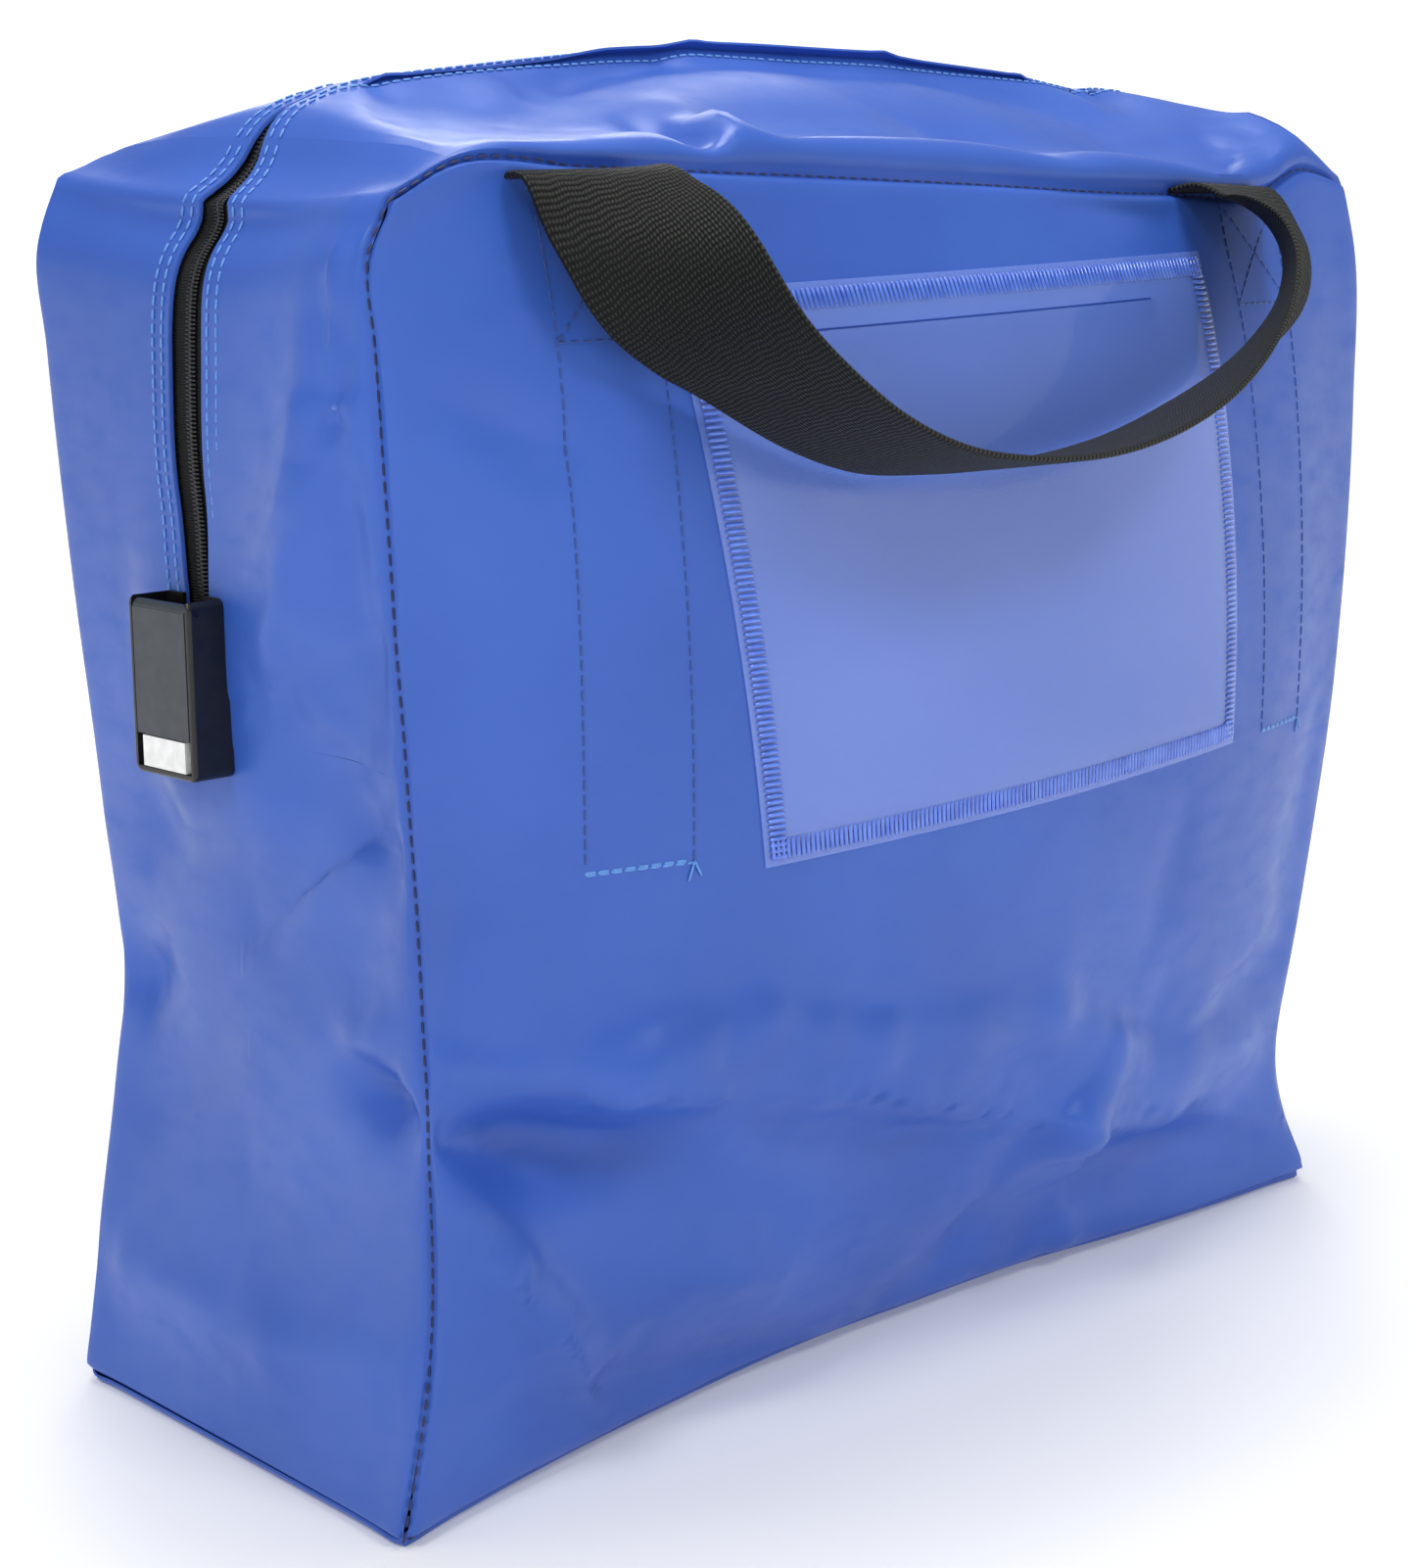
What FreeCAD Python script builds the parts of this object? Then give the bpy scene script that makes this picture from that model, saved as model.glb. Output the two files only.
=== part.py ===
import FreeCAD, Part
import math
import os
import re

from FreeCAD import Placement, Rotation, Vector

# Cash deposit bag, millimetres. X runs along the front panel, the front faces -Y, Z is up.
# The origin is the centre of the underside. The lock and the open stretch of zip are on the
# -X end. The bag's skin is a set of thin layers between two offsets of one pillow-shaped
# outline: four walls that bulge front and back, under a domed top.

doc = FreeCAD.newDocument("cash_deposit_bag")

# ---------------------------------------------------------------- driving dimensions

SIZES = {
    "bag_width": 474.0,
    "bag_depth": 174.0,
    "seam_height": 396.0,
    "crest_rise": 45.0,
    "panel_bulge": 43.0,
    "fabric": 1.0,
    "joint_gap": 0.3,
    "cut_reach": 200.0,
    "cut_margin": 10.0,
    "edge_round": 1.2,
    "corner_round": 3.0,
    "lip_span": 410.0,
    "lip_hem": 8.0,
    "zip_centre": 2.0,
    "slot_half": 8.0,
    "tape_half": 9.4,
    "tape_thick": 0.8,
    "coil_inner": 0.8,
    "coil_outer": 2.2,
    "coil_thick": 2.0,
    "zip_low": 229.0,
    "zip_end": 214.0,
    "lock_width": 32.0,
    "lock_tall": 54.0,
    "lock_low": 221.0,
    "lock_deep": 14.0,
    "lock_wall": 2.0,
    "lock_base": 1.2,
    "door_wide": 27.0,
    "door_thick": 2.0,
    "door_low": 233.2,
    "pin_high": 271.6,
    "pin_radius": 1.2,
    "pin_clear": 0.05,
    "knuckle_radius": 2.3,
    "seal_tall": 10.0,
    "seal_wide": 22.0,
    "seal_thick": 2.0,
    "prong_radius": 1.8,
    "prong_long": 7.0,
    "plate_thick": 1.5,
    "rivet_radius": 1.5,
    "rivet_head": 2.6,
    "rivet_head_thick": 0.9,
    "slider_long": 12.0,
    "slider_wide": 9.0,
    "slider_plate": 1.0,
    "slider_low": 246.0,
    "key_wide": 9.0,
    "key_long": 20.0,
    "key_deep": 6.4,
    "key_eye": 2.2,
    "window_width": 242.0,
    "window_low": 194.5,
    "window_high": 365.0,
    "weld_band": 6.5,
    "rib_high": 1.4,
    "sheet_gap": 0.4,
    "sheet_thick": 0.4,
    "slit_long": 150.0,
    "slit_down": 20.0,
    "strap_width": 50.0,
    "strap_thick": 2.4,
    "strap_root": 151.0,
    "strap_shift": -8.0,
    "tail_centre": 161.6,
    "strap_drop": 92.0,
    "strap_reach": 59.0,
    "strap_axis_out": 3.6,
    "strap_axis_up": 0.6,
    "tail_low": 196.0,
    "tail_thick": 1.8,
}

sheet = doc.addObject("Spreadsheet::Sheet", "sizes")
for row, (alias, value) in enumerate(SIZES.items(), start=1):
    sheet.set(f"A{row}", alias)
    sheet.set(f"B{row}", str(value))
    sheet.setAlias(f"B{row}", alias)
doc.recompute()


def size(alias):
    return float(sheet.get(alias))


# ---------------------------------------------------------------- helpers

SUBPARTS = []


def bind(obj, prop, formula):
    """Bind a property to the sheet: a bare alias in the formula becomes sizes.alias."""
    obj.setExpression(prop, re.sub(r"[a-z_]+", lambda word: f"sizes.{word.group()}", formula))


def place(obj, x="0", y="0", z="0"):
    for axis, formula in zip("xyz", (x, y, z)):
        bind(obj, f"Placement.Base.{axis}", formula)


def box(name, length, width, height, x, y, z):
    """A box with its low corner at x, y, z."""
    made = doc.addObject("Part::Box", name)
    bind(made, "Length", length)
    bind(made, "Width", width)
    bind(made, "Height", height)
    place(made, x, y, z)
    return made


def rod(name, radius, length, x, y, z, axis):
    """A cylinder from x, y, z along axis."""
    made = doc.addObject("Part::Cylinder", name)
    bind(made, "Radius", radius)
    bind(made, "Height", length)
    made.Placement = Placement(Vector(), Rotation(Vector(0, 0, 1), axis))
    place(made, x, y, z)
    return made


def cut(name, base, tool):
    made = doc.addObject("Part::Cut", name)
    made.Base = base
    made.Tool = tool
    return made


def common(name, first, second):
    made = doc.addObject("Part::Common", name)
    made.Base = first
    made.Tool = second
    return made


def join(name, pieces):
    made = doc.addObject("Part::MultiFuse", name)
    made.Shapes = pieces
    return made


def group(name, pieces):
    """Separate solids kept in one sub-part."""
    made = doc.addObject("Part::Compound", name)
    made.Links = pieces
    return made


def subpart(obj, label):
    obj.Label = label
    SUBPARTS.append(obj)
    return obj


# ---------------------------------------------------------------- the pillow outline

# Share of the panels' full bulge at shares of the seam height.
WALL_PROFILE = [(0.0, 0.02), (0.12, 0.45), (0.3, 0.85), (0.52, 1.0), (0.74, 0.8), (0.9, 0.4), (1.0, 0.02)]
# Share of the dome's full rise at shares of the half width.
DOME_PROFILE = [(-1.0, 0.05), (-0.865, 0.3), (-0.5, 0.76), (0.0, 1.0), (0.5, 0.76), (0.865, 0.3), (1.0, 0.05)]


def wall_wire(offset, high, share):
    """The walls' outline at one height: straight ends, bowed front and back."""
    across = size("bag_width") / 2 + offset
    deep = size("bag_depth") / 2 + offset
    bow = deep + size("panel_bulge") * share
    front = Part.Arc(Vector(-across, -deep, high), Vector(0, -bow, high), Vector(across, -deep, high))
    back = Part.Arc(Vector(across, deep, high), Vector(0, bow, high), Vector(-across, deep, high))
    right = Part.makeLine(Vector(across, -deep, high), Vector(across, deep, high))
    left = Part.makeLine(Vector(-across, deep, high), Vector(-across, -deep, high))
    return Part.Wire([front.toShape(), right, back.toShape(), left])


def dome_wire(offset, along, share):
    """The domed top's outline across the bag at one place along it."""
    deep = size("bag_depth") / 2 + offset
    base = size("seam_height")
    crest = base + size("crest_rise") * share + offset
    arc = Part.Arc(Vector(along, -deep, base), Vector(along, 0, crest), Vector(along, deep, base))
    floor = Part.makeLine(Vector(along, deep, base), Vector(along, -deep, base))
    return Part.Wire([arc.toShape(), floor])


def pillow(name, offset):
    """The whole outline as a solid, moved out by offset (negative is inwards)."""
    top = size("seam_height")
    heights = [max(share * top, -offset) for share, _ in WALL_PROFILE]
    walls = [wall_wire(offset, high, bulge) for high, (_, bulge) in zip(heights, WALL_PROFILE)]
    half = size("bag_width") / 2 + offset
    domes = [dome_wire(offset, along * half, rise) for along, rise in DOME_PROFILE]
    made = doc.addObject("Part::Feature", name)
    made.Shape = Part.makeLoft(walls, True, True).fuse(Part.makeLoft(domes, True, True)).removeSplitter()
    made.Placement = Placement()
    return made


def layer(name, outer, inner):
    return cut(name, outer, inner)


fabric = size("fabric")
outline = pillow("outline", 0.0)
lining = pillow("lining", -fabric)
skin = layer("skin", outline, lining)

# ---------------------------------------------------------------- panels and gusset

def front_block(name):
    return box(
        name, "bag_width + 2 * cut_margin", "cut_reach", "seam_height",
        "-bag_width / 2 - cut_margin", "-bag_depth / 2 + fabric - cut_reach", "0",
    )


def back_block(name):
    return box(
        name, "bag_width + 2 * cut_margin", "cut_reach", "seam_height",
        "-bag_width / 2 - cut_margin", "bag_depth / 2 - fabric", "0",
    )


front_panel = subpart(common("front_panel", skin, front_block("front_panel_block")), "front_panel")
back_panel = subpart(common("back_panel", skin, back_block("back_panel_block")), "back_panel")

mouth_block = box(
    "mouth_block",
    "lip_span + 2 * joint_gap",
    "cut_reach",
    "cut_reach",
    "-lip_span / 2 - joint_gap",
    "-100",
    "seam_height - fabric",
)
slot_block = box(
    "slot_block",
    "bag_width / 2 - lip_span / 2 + 5",
    "2 * slot_half",
    "cut_reach",
    "-bag_width / 2 - 5",
    "zip_centre - slot_half",
    "zip_low - 3",
)
slot_end_block = box(
    "slot_end_block",
    "zip_end",
    "2 * slot_half",
    "cut_reach",
    "0",
    "zip_centre - slot_half",
    "seam_height - 20",
)


def rivet_rods(name, radius):
    """Four rods along X through the lock's corners."""
    rods = []
    for row, high in enumerate(("lock_low + 5", "lock_low + lock_tall - 9")):
        for column, side in enumerate(("-1", "1")):
            rods.append(
                rod(
                    f"{name}_{row}{column}",
                    radius,
                    "lock_base + fabric + plate_thick",
                    "-bag_width / 2 - lock_base",
                    f"zip_centre + {side} * ( lock_width / 2 - lock_wall - rivet_head - 0.4 )",
                    high,
                    Vector(1, 0, 0),
                )
            )
    return rods


band_cuts = join(
    "band_cuts",
    [
        front_block("band_front_block"),
        back_block("band_back_block"),
        mouth_block,
        slot_block,
        slot_end_block,
        *rivet_rods("band_rivet_hole", "rivet_radius"),
    ],
)
gusset_band = subpart(cut("gusset_band", skin, band_cuts), "gusset_band")

# ---------------------------------------------------------------- lips of the mouth

hem_skin = layer("hem_skin", pillow("hem_outline", 0.9 * fabric), outline)


def lip_block(name, side, wide, start):
    """A block over the mouth, from start to start + wide away from the zip on one side."""
    low = f"zip_centre + {start}" if side > 0 else f"zip_centre - {start} - {wide}"
    return box(
        name, "lip_span", wide, "cut_reach", "-lip_span / 2", low, "seam_height + joint_gap"
    )


for side, word in ((-1, "front"), (1, "back")):
    body = common(f"{word}_lip_skin", skin, lip_block(f"{word}_lip_block", side, "100", "slot_half"))
    hem = common(f"{word}_lip_hem", hem_skin, lip_block(f"{word}_hem_block", side, "lip_hem", "slot_half"))
    subpart(join(f"{word}_lip", [body, hem]), f"{word}_lip")

# ---------------------------------------------------------------- zip

tape_outer = lining
tape_inner = pillow("tape_inner", -fabric - size("tape_thick"))
tape_skin = layer("tape_skin", tape_outer, tape_inner)
coil_outer = pillow("coil_outline", -0.4 * fabric)
coil_inner = pillow("coil_inside", -0.4 * fabric - size("coil_thick"))
coil_skin = layer("coil_skin", coil_outer, coil_inner)


def end_block(name, side, wide, start):
    """A block over the left end above zip_low and as far along the top as the lips' ends."""
    low = f"zip_centre + {start}" if side > 0 else f"zip_centre - {start} - {wide}"
    return box(
        name,
        "( bag_width - lip_span ) / 2 + 5 - joint_gap",
        wide,
        "cut_reach",
        "-bag_width / 2 - 5",
        low,
        "zip_low",
    )


for side, word in ((-1, "front"), (1, "back")):
    for place_word, block in (("end", end_block), ("lip", lip_block)):
        strips = (
            ("tape", tape_skin, "( tape_half - coil_outer )", "coil_outer"),
            ("coil", coil_skin, "( coil_outer - coil_inner )", "coil_inner"),
        )
        for strip, source, wide, start in strips:
            label = f"{place_word}_zip_{strip}_{word}"
            reach = block(f"{label}_block", side, wide, start)
            subpart(common(label, source, reach), label)

bottom_stop = box(
    "zip_bottom_stop", "3", "5", "2.4", "-bag_width / 2 - 0.4", "zip_centre - 2.5", "zip_low - 2.7"
)
subpart(bottom_stop, "zip_bottom_stop")
end_stop = box(
    "zip_end_stop", "4", "5.4", "4",
    "lip_span / 2 + 1", "zip_centre - 2.7", "seam_height + crest_rise * 0.26 - 2",
)
subpart(end_stop, "zip_end_stop")

# ---------------------------------------------------------------- slider and its key

slider_outer = box(
    "slider_outer_plate",
    "slider_plate",
    "slider_wide",
    "slider_long",
    "-bag_width / 2 - slider_plate - 0.2",
    "zip_centre - slider_wide / 2",
    "slider_low",
)
slider_inner = box(
    "slider_inner_plate",
    "slider_plate",
    "slider_wide",
    "slider_long",
    "-bag_width / 2 + fabric + tape_thick + 0.9",
    "zip_centre - slider_wide / 2",
    "slider_low",
)
slider_bridge = box(
    "slider_bridge",
    "fabric + tape_thick + 1.2 + slider_plate",
    "1",
    "4",
    "-bag_width / 2 - 0.3",
    "zip_centre - 0.5",
    "slider_low",
)
subpart(join("zip_slider", [slider_outer, slider_inner, slider_bridge]), "zip_slider")

key_block = box(
    "key_block",
    "key_deep",
    "key_wide",
    "key_long",
    "-bag_width / 2 - slider_plate - 0.2 - key_deep",
    "zip_centre - key_wide / 2",
    "slider_low - 6",
)
key_soft = doc.addObject("Part::Fillet", "key_rounded")
key_soft.Base = key_block
doc.recompute()
edge_round = size("edge_round")
key_front = -size("bag_width") / 2 - size("key_deep") / 2
key_soft.Edges = [
    (number, edge_round, edge_round)
    for number, edge in enumerate(key_block.Shape.Edges, start=1)
    if edge.BoundBox.XMax < key_front
]
key_eye = rod(
    "key_eye_hole", "key_eye", "key_wide + 4", "-bag_width / 2 - slider_plate - key_deep / 2 - 0.4",
    "zip_centre - key_wide / 2 - 2", "slider_low - 1.6", Vector(0, 1, 0),
)
subpart(cut("slider_key", key_soft, key_eye), "slider_key")

# ---------------------------------------------------------------- lock

FACE = "-bag_width / 2"

lock_shell = box(
    "lock_shell", "lock_deep", "lock_width", "lock_tall",
    f"{FACE} - lock_deep", "zip_centre - lock_width / 2", "lock_low",
)
lock_round = doc.addObject("Part::Fillet", "lock_round")
lock_round.Base = lock_shell
doc.recompute()
lock_face = lock_shell.Shape.BoundBox.XMin + 0.1
lock_round.Edges = [
    (number, radius, radius)
    for number, edge in enumerate(lock_shell.Shape.Edges, start=1)
    for radius in [edge_round if edge.BoundBox.XMax < lock_face else size("corner_round")]
    if edge.BoundBox.XMin < lock_face
]
lock_chamber = box(
    "lock_chamber", "lock_deep", "lock_width - 2 * lock_wall", "lock_tall",
    f"{FACE} - lock_deep - lock_base", "zip_centre - lock_width / 2 + lock_wall", "lock_low + lock_wall",
)
lock_track = box(
    "lock_track", "lock_base + 2", "slider_wide + 2", "lock_tall",
    f"{FACE} - lock_base - 1", "zip_centre - slider_wide / 2 - 1", "lock_low + lock_wall + 2",
)
lock_bores = rod(
    "lock_pin_bore", "pin_radius", "lock_width + 4", f"{FACE} - lock_deep + knuckle_radius + 0.2",
    "zip_centre - lock_width / 2 - 2", "pin_high", Vector(0, 1, 0),
)
lock_cuts = join(
    "lock_cuts", [lock_chamber, lock_track, lock_bores, *rivet_rods("lock_rivet_hole", "rivet_radius")]
)
lock_frame = cut("lock_frame", lock_round, lock_cuts)
seal_sill = box(
    "seal_sill", "3", "lock_width - 2 * lock_wall", "seal_tall - 0.6",
    f"{FACE} - lock_deep + seal_thick + joint_gap",
    "zip_centre - lock_width / 2 + lock_wall",
    "lock_low + lock_wall",
)
seal_socket = rod(
    "seal_socket", "prong_radius + 0.3", "14", f"{FACE} - lock_deep - 2",
    "zip_centre", "lock_low + lock_wall + seal_tall / 2", Vector(1, 0, 0),
)
seal_seat = cut("seal_seat", seal_sill, seal_socket)
subpart(join("lock_housing", [lock_frame, seal_seat]), "lock_housing")

seal_plate = box(
    "seal_plate", "seal_thick", "seal_wide", "seal_tall - 0.6",
    f"{FACE} - lock_deep", "zip_centre - seal_wide / 2", "lock_low + lock_wall + 0.3",
)
seal_prong = rod(
    "seal_prong", "prong_radius", "prong_long", f"{FACE} - lock_deep + seal_thick - 0.5",
    "zip_centre", "lock_low + lock_wall + seal_tall / 2", Vector(1, 0, 0),
)
subpart(join("seal_insert", [seal_plate, seal_prong]), "seal_insert")

PIN_OUT = f"{FACE} - lock_deep + knuckle_radius + 0.2"
door_leaf = box(
    "door_leaf", "door_thick", "door_wide", "pin_high - door_low",
    f"{FACE} - lock_deep - 0.1", "zip_centre - door_wide / 2", "door_low",
)
door_knuckle = rod(
    "door_knuckle", "knuckle_radius", "door_wide", PIN_OUT,
    "zip_centre - door_wide / 2", "pin_high", Vector(0, 1, 0),
)
door_bore = rod(
    "door_bore", "pin_radius + pin_clear", "door_wide + 4", PIN_OUT,
    "zip_centre - door_wide / 2 - 2", "pin_high", Vector(0, 1, 0),
)
door_solid = join("door_solid", [door_leaf, door_knuckle])
subpart(cut("lock_door", door_solid, door_bore), "lock_door")

door_pin = rod(
    "door_pin", "pin_radius", "lock_width", PIN_OUT,
    "zip_centre - lock_width / 2", "pin_high", Vector(0, 1, 0),
)
subpart(door_pin, "door_pin")

plate_block = box(
    "plate_block", "plate_thick", "lock_width", "lock_tall",
    f"{FACE} + fabric", "zip_centre - lock_width / 2", "lock_low",
)
plate_gap = box(
    "plate_gap", "plate_thick + 2", "2 * tape_half + 0.6", "lock_tall",
    f"{FACE} + fabric - 1", "zip_centre - tape_half - 0.3", "zip_low - 3.5",
)
plate_cuts = join("plate_cuts", [plate_gap, *rivet_rods("plate_rivet_hole", "rivet_radius")])
subpart(cut("lock_back_plate", plate_block, plate_cuts), "lock_back_plate")

rivets = []
for number, shank in enumerate(rivet_rods("rivet_shank", "rivet_radius")):
    heads = []
    ends = {"outer": f"{FACE} - lock_base - rivet_head_thick", "inner": f"{FACE} + fabric + plate_thick"}
    for end, start in ends.items():
        head = rod(
            f"rivet_{end}_head_{number}", "rivet_head", "rivet_head_thick",
            start, "0", "0", Vector(1, 0, 0),
        )
        for axis in "yz":
            head.setExpression(f"Placement.Base.{axis}", f"{shank.Name}.Placement.Base.{axis}")
        heads.append(head)
    rivets.append(join(f"rivet_{number}", [shank, *heads]))
subpart(group("lock_rivets", rivets), "lock_rivets")

# ---------------------------------------------------------------- clear window

sheet_low = size("sheet_gap")
sheet_high = sheet_low + size("sheet_thick")
sheet_skin = layer("sheet_skin", pillow("sheet_outside", sheet_high), pillow("sheet_inside", sheet_low))
rib_skin = layer("rib_skin", pillow("rib_outside", size("rib_high")), outline)


def window_block(name, inset):
    return box(
        name, f"window_width - 2 * ( {inset} )", "cut_reach", f"window_high - window_low - 2 * ( {inset} )",
        f"-window_width / 2 + {inset}", "-210", f"window_low + {inset}",
    )


sheet_area = common("sheet_area", sheet_skin, window_block("sheet_window", "weld_band"))
slit = box(
    "window_slit", "slit_long", "cut_reach", "0.8",
    "-slit_long / 2", "-cut_reach - cut_margin", "window_high - slit_down - 0.4",
)
subpart(cut("window_sheet", sheet_area, slit), "window_sheet")
rib_area = common("rib_area", rib_skin, window_block("rib_window", "0"))
subpart(cut("window_weld_rib", rib_area, window_block("rib_opening", "weld_band")), "window_weld_rib")

# ---------------------------------------------------------------- webbing handles

STATIONS = 8
def strap_section(turn, side):
    """The strap's rectangle at one angle of its half-ellipse loop, 0 at the middle."""
    root = size("strap_root")
    drop = size("strap_drop")
    reach = size("strap_reach")
    centre = Vector(
        size("strap_shift") + root * math.sin(turn),
        side * (size("bag_depth") / 2 + size("strap_axis_out") + reach * math.cos(turn)),
        size("seam_height") + size("strap_axis_up") - drop * math.cos(turn),
    )
    path = Vector(root * math.cos(turn), -side * reach * math.sin(turn), drop * math.sin(turn)).normalize()
    out = Vector(0, side, 0)
    inward = Vector(-math.copysign(1, turn), 0, 0)
    lean = math.pi / 2 * math.cos(turn) ** 2
    wide = out * math.sin(lean) + inward * math.cos(lean)
    wide = (wide - path * wide.dot(path)).normalize()
    thick = path.cross(wide)
    half_w = wide * (size("strap_width") / 2)
    half_t = thick * (size("strap_thick") / 2)
    ring = [
        centre + half_w + half_t,
        centre - half_w + half_t,
        centre - half_w - half_t,
        centre + half_w - half_t,
    ]
    return Part.makePolygon([*ring, ring[0]])


def strap(name, side):
    """Webbing loop hanging from the top seam, flat at its roots and on edge in the middle."""
    turns = [math.pi / 2 * n / STATIONS for n in range(-STATIONS, STATIONS + 1)]
    made = doc.addObject("Part::Feature", name)
    made.Shape = Part.makeLoft([strap_section(turn, side) for turn in turns], True, True)
    made.Placement = Placement()
    return made


tail_skin = layer("tail_skin", lining, pillow("tail_inside", -fabric - size("tail_thick")))
for side, word in ((-1, "front"), (1, "back")):
    subpart(strap(f"{word}_handle", side), f"{word}_handle")
    for hand, hand_word in ((-1, "left"), (1, "right")):
        label = f"{word}_tail_{hand_word}"
        low = "-bag_depth / 2 - 60" if side < 0 else "bag_depth / 2 - fabric - 3"
        reach = box(
            f"{label}_block", "strap_width", "63 + fabric", "seam_height - 2 - tail_low",
            f"{hand} * tail_centre - strap_width / 2", low, "tail_low",
        )
        subpart(common(label, tail_skin, reach), label)

# ---------------------------------------------------------------- check and write

doc.recompute()
for obj in doc.Objects:
    if {"Invalid", "Error"} & set(obj.State):
        raise RuntimeError(f"{obj.Name} failed: {obj.State}")
for obj in SUBPARTS:
    if obj.Shape.isNull() or not obj.Shape.isValid() or obj.Shape.Volume <= 0:
        raise RuntimeError(f"{obj.Label} has no valid shape")

os.makedirs("parts", exist_ok=True)
for obj in SUBPARTS:
    obj.Shape.exportStep(f"parts/{obj.Label}.step")
    box_of = obj.Shape.BoundBox
    print(
        f"{obj.Label:26s} solids {len(obj.Shape.Solids)} volume {obj.Shape.Volume:10.1f}"
        f" x {box_of.XMin:7.1f} {box_of.XMax:7.1f} y {box_of.YMin:7.1f} {box_of.YMax:7.1f}"
        f" z {box_of.ZMin:6.1f} {box_of.ZMax:6.1f}"
    )
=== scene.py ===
import math

import bmesh
import bpy
import numpy as np
from mathutils import Matrix, Vector
from mathutils.bvhtree import BVHTree


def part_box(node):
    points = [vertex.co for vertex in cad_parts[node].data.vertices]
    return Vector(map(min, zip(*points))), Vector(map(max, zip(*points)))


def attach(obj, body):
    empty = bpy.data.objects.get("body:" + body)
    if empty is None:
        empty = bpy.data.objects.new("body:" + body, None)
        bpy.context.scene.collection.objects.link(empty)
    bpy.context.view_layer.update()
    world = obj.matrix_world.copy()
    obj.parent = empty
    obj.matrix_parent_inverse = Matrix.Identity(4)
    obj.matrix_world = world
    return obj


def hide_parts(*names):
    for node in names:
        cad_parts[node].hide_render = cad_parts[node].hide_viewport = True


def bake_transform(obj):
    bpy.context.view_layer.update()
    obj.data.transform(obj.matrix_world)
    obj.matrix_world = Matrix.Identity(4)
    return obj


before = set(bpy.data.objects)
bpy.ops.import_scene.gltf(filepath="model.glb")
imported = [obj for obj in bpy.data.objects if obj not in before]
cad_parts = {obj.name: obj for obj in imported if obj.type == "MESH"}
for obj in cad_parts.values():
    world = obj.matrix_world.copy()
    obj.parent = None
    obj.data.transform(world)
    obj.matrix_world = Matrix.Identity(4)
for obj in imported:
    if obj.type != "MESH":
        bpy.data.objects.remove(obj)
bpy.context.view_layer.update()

# Cash deposit bag. Lengths are in millimetres until a mesh is made, which takes metres.
# +X runs along the front panel, the front faces -Y, and the zip's lock is on the -X end.

MM = 0.001
scene = bpy.context.scene


def cad(node, corner, axis):
    """One side of a CAD node's box in millimetres: corner 0 is low, 1 is high."""
    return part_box(node)[corner]["xyz".index(axis)] / MM


HALF_W = cad("gusset_band", 1, "x")
HALF_D = cad("gusset_band", 1, "y")
SEAM_Z = cad("front_panel", 1, "z")
WIDTH, DEPTH = 2 * HALF_W, 2 * HALF_D
ZIP_Y = (cad("lock_housing", 0, "y") + cad("lock_housing", 1, "y")) / 2
LOCK_LOW = cad("lock_housing", 0, "z")
LOCK_TOP = cad("lock_housing", 1, "z")
BULGE = 43.0
GRID = 6.0  # spacing of the points that the cloth is relaxed on
FLOOR_GAP = 0.6

# ---- curves and grids


def smoothstep(low, high, value):
    share = np.clip((np.asarray(value, float) - low) / (high - low), 0, 1)
    return share * share * (3 - 2 * share)


def outside(value, low, high):
    """How far a value lies outside a range."""
    return np.maximum(np.maximum(low - value, value - high), 0)


def lengths(points):
    return np.concatenate([[0], np.cumsum(np.linalg.norm(np.diff(points, axis=0), axis=1))])


def unit(vectors):
    return vectors / np.maximum(np.linalg.norm(vectors, axis=-1, keepdims=True), 1e-9)


def hermite(knots, values, at):
    """Smooth curve through values at knots, read at the places given."""
    slopes = np.gradient(values, knots, axis=0)
    at = np.clip(at, knots[0], knots[-1])
    i = np.clip(np.searchsorted(knots, at, side="right") - 1, 0, len(knots) - 2)
    step = (knots[i + 1] - knots[i])[:, None]
    u = (at - knots[i])[:, None] / step
    low, high = values[i], values[i + 1]
    low_slope, high_slope = slopes[i] * step, slopes[i + 1] * step
    rise = u * u * (3 - 2 * u)
    return low + (high - low) * rise + low_slope * u * (1 - u) ** 2 - high_slope * u * u * (1 - u)


def table(pairs, at):
    """Smooth value from (place, value) pairs."""
    pairs = np.asarray(pairs, float)
    return hermite(pairs[:, 0], pairs[:, 1:2], np.ravel(at)).reshape(np.shape(at))


def coons(low, high, left, right):
    """A grid of points inside four edge curves. Rows go from low to high, columns from left to right."""
    up = np.linspace(0, 1, len(left))[:, None, None]
    over = np.linspace(0, 1, len(low))[None, :, None]
    ruled_up = (1 - up) * low[None] + up * high[None]
    ruled_over = (1 - over) * left[:, None] + over * right[:, None]
    corners = (
        (1 - up) * (1 - over) * low[0]
        + (1 - up) * over * low[-1]
        + up * (1 - over) * high[0]
        + up * over * high[-1]
    )
    return ruled_up + ruled_over - corners


def resample(grid, rows, cols):
    """The grid read smoothly at shares of its rows and columns; cols may be a table, one row each."""
    count = grid.shape[0]
    knots = np.linspace(0, 1, count)
    flat = hermite(knots, grid.reshape(count, -1), np.asarray(rows))
    tall = flat.reshape(len(rows), grid.shape[1], 3)
    knots = np.linspace(0, 1, grid.shape[1])
    cols = np.broadcast_to(cols, (len(rows), np.shape(cols)[-1]))
    return np.stack([hermite(knots, row, at) for row, at in zip(tall, cols)])


def normals(grid):
    """Unit normals, by the right-hand rule from rows to columns."""
    return unit(np.cross(np.gradient(grid, axis=0), np.gradient(grid, axis=1)))


def grid_faces(rows, cols, start=0, flip=False):
    index = start + np.arange(rows * cols).reshape(rows, cols)
    quads = np.stack([index[:-1, :-1], index[:-1, 1:], index[1:, 1:], index[1:, :-1]], -1).reshape(-1, 4)
    return quads[:, ::-1] if flip else quads


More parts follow.
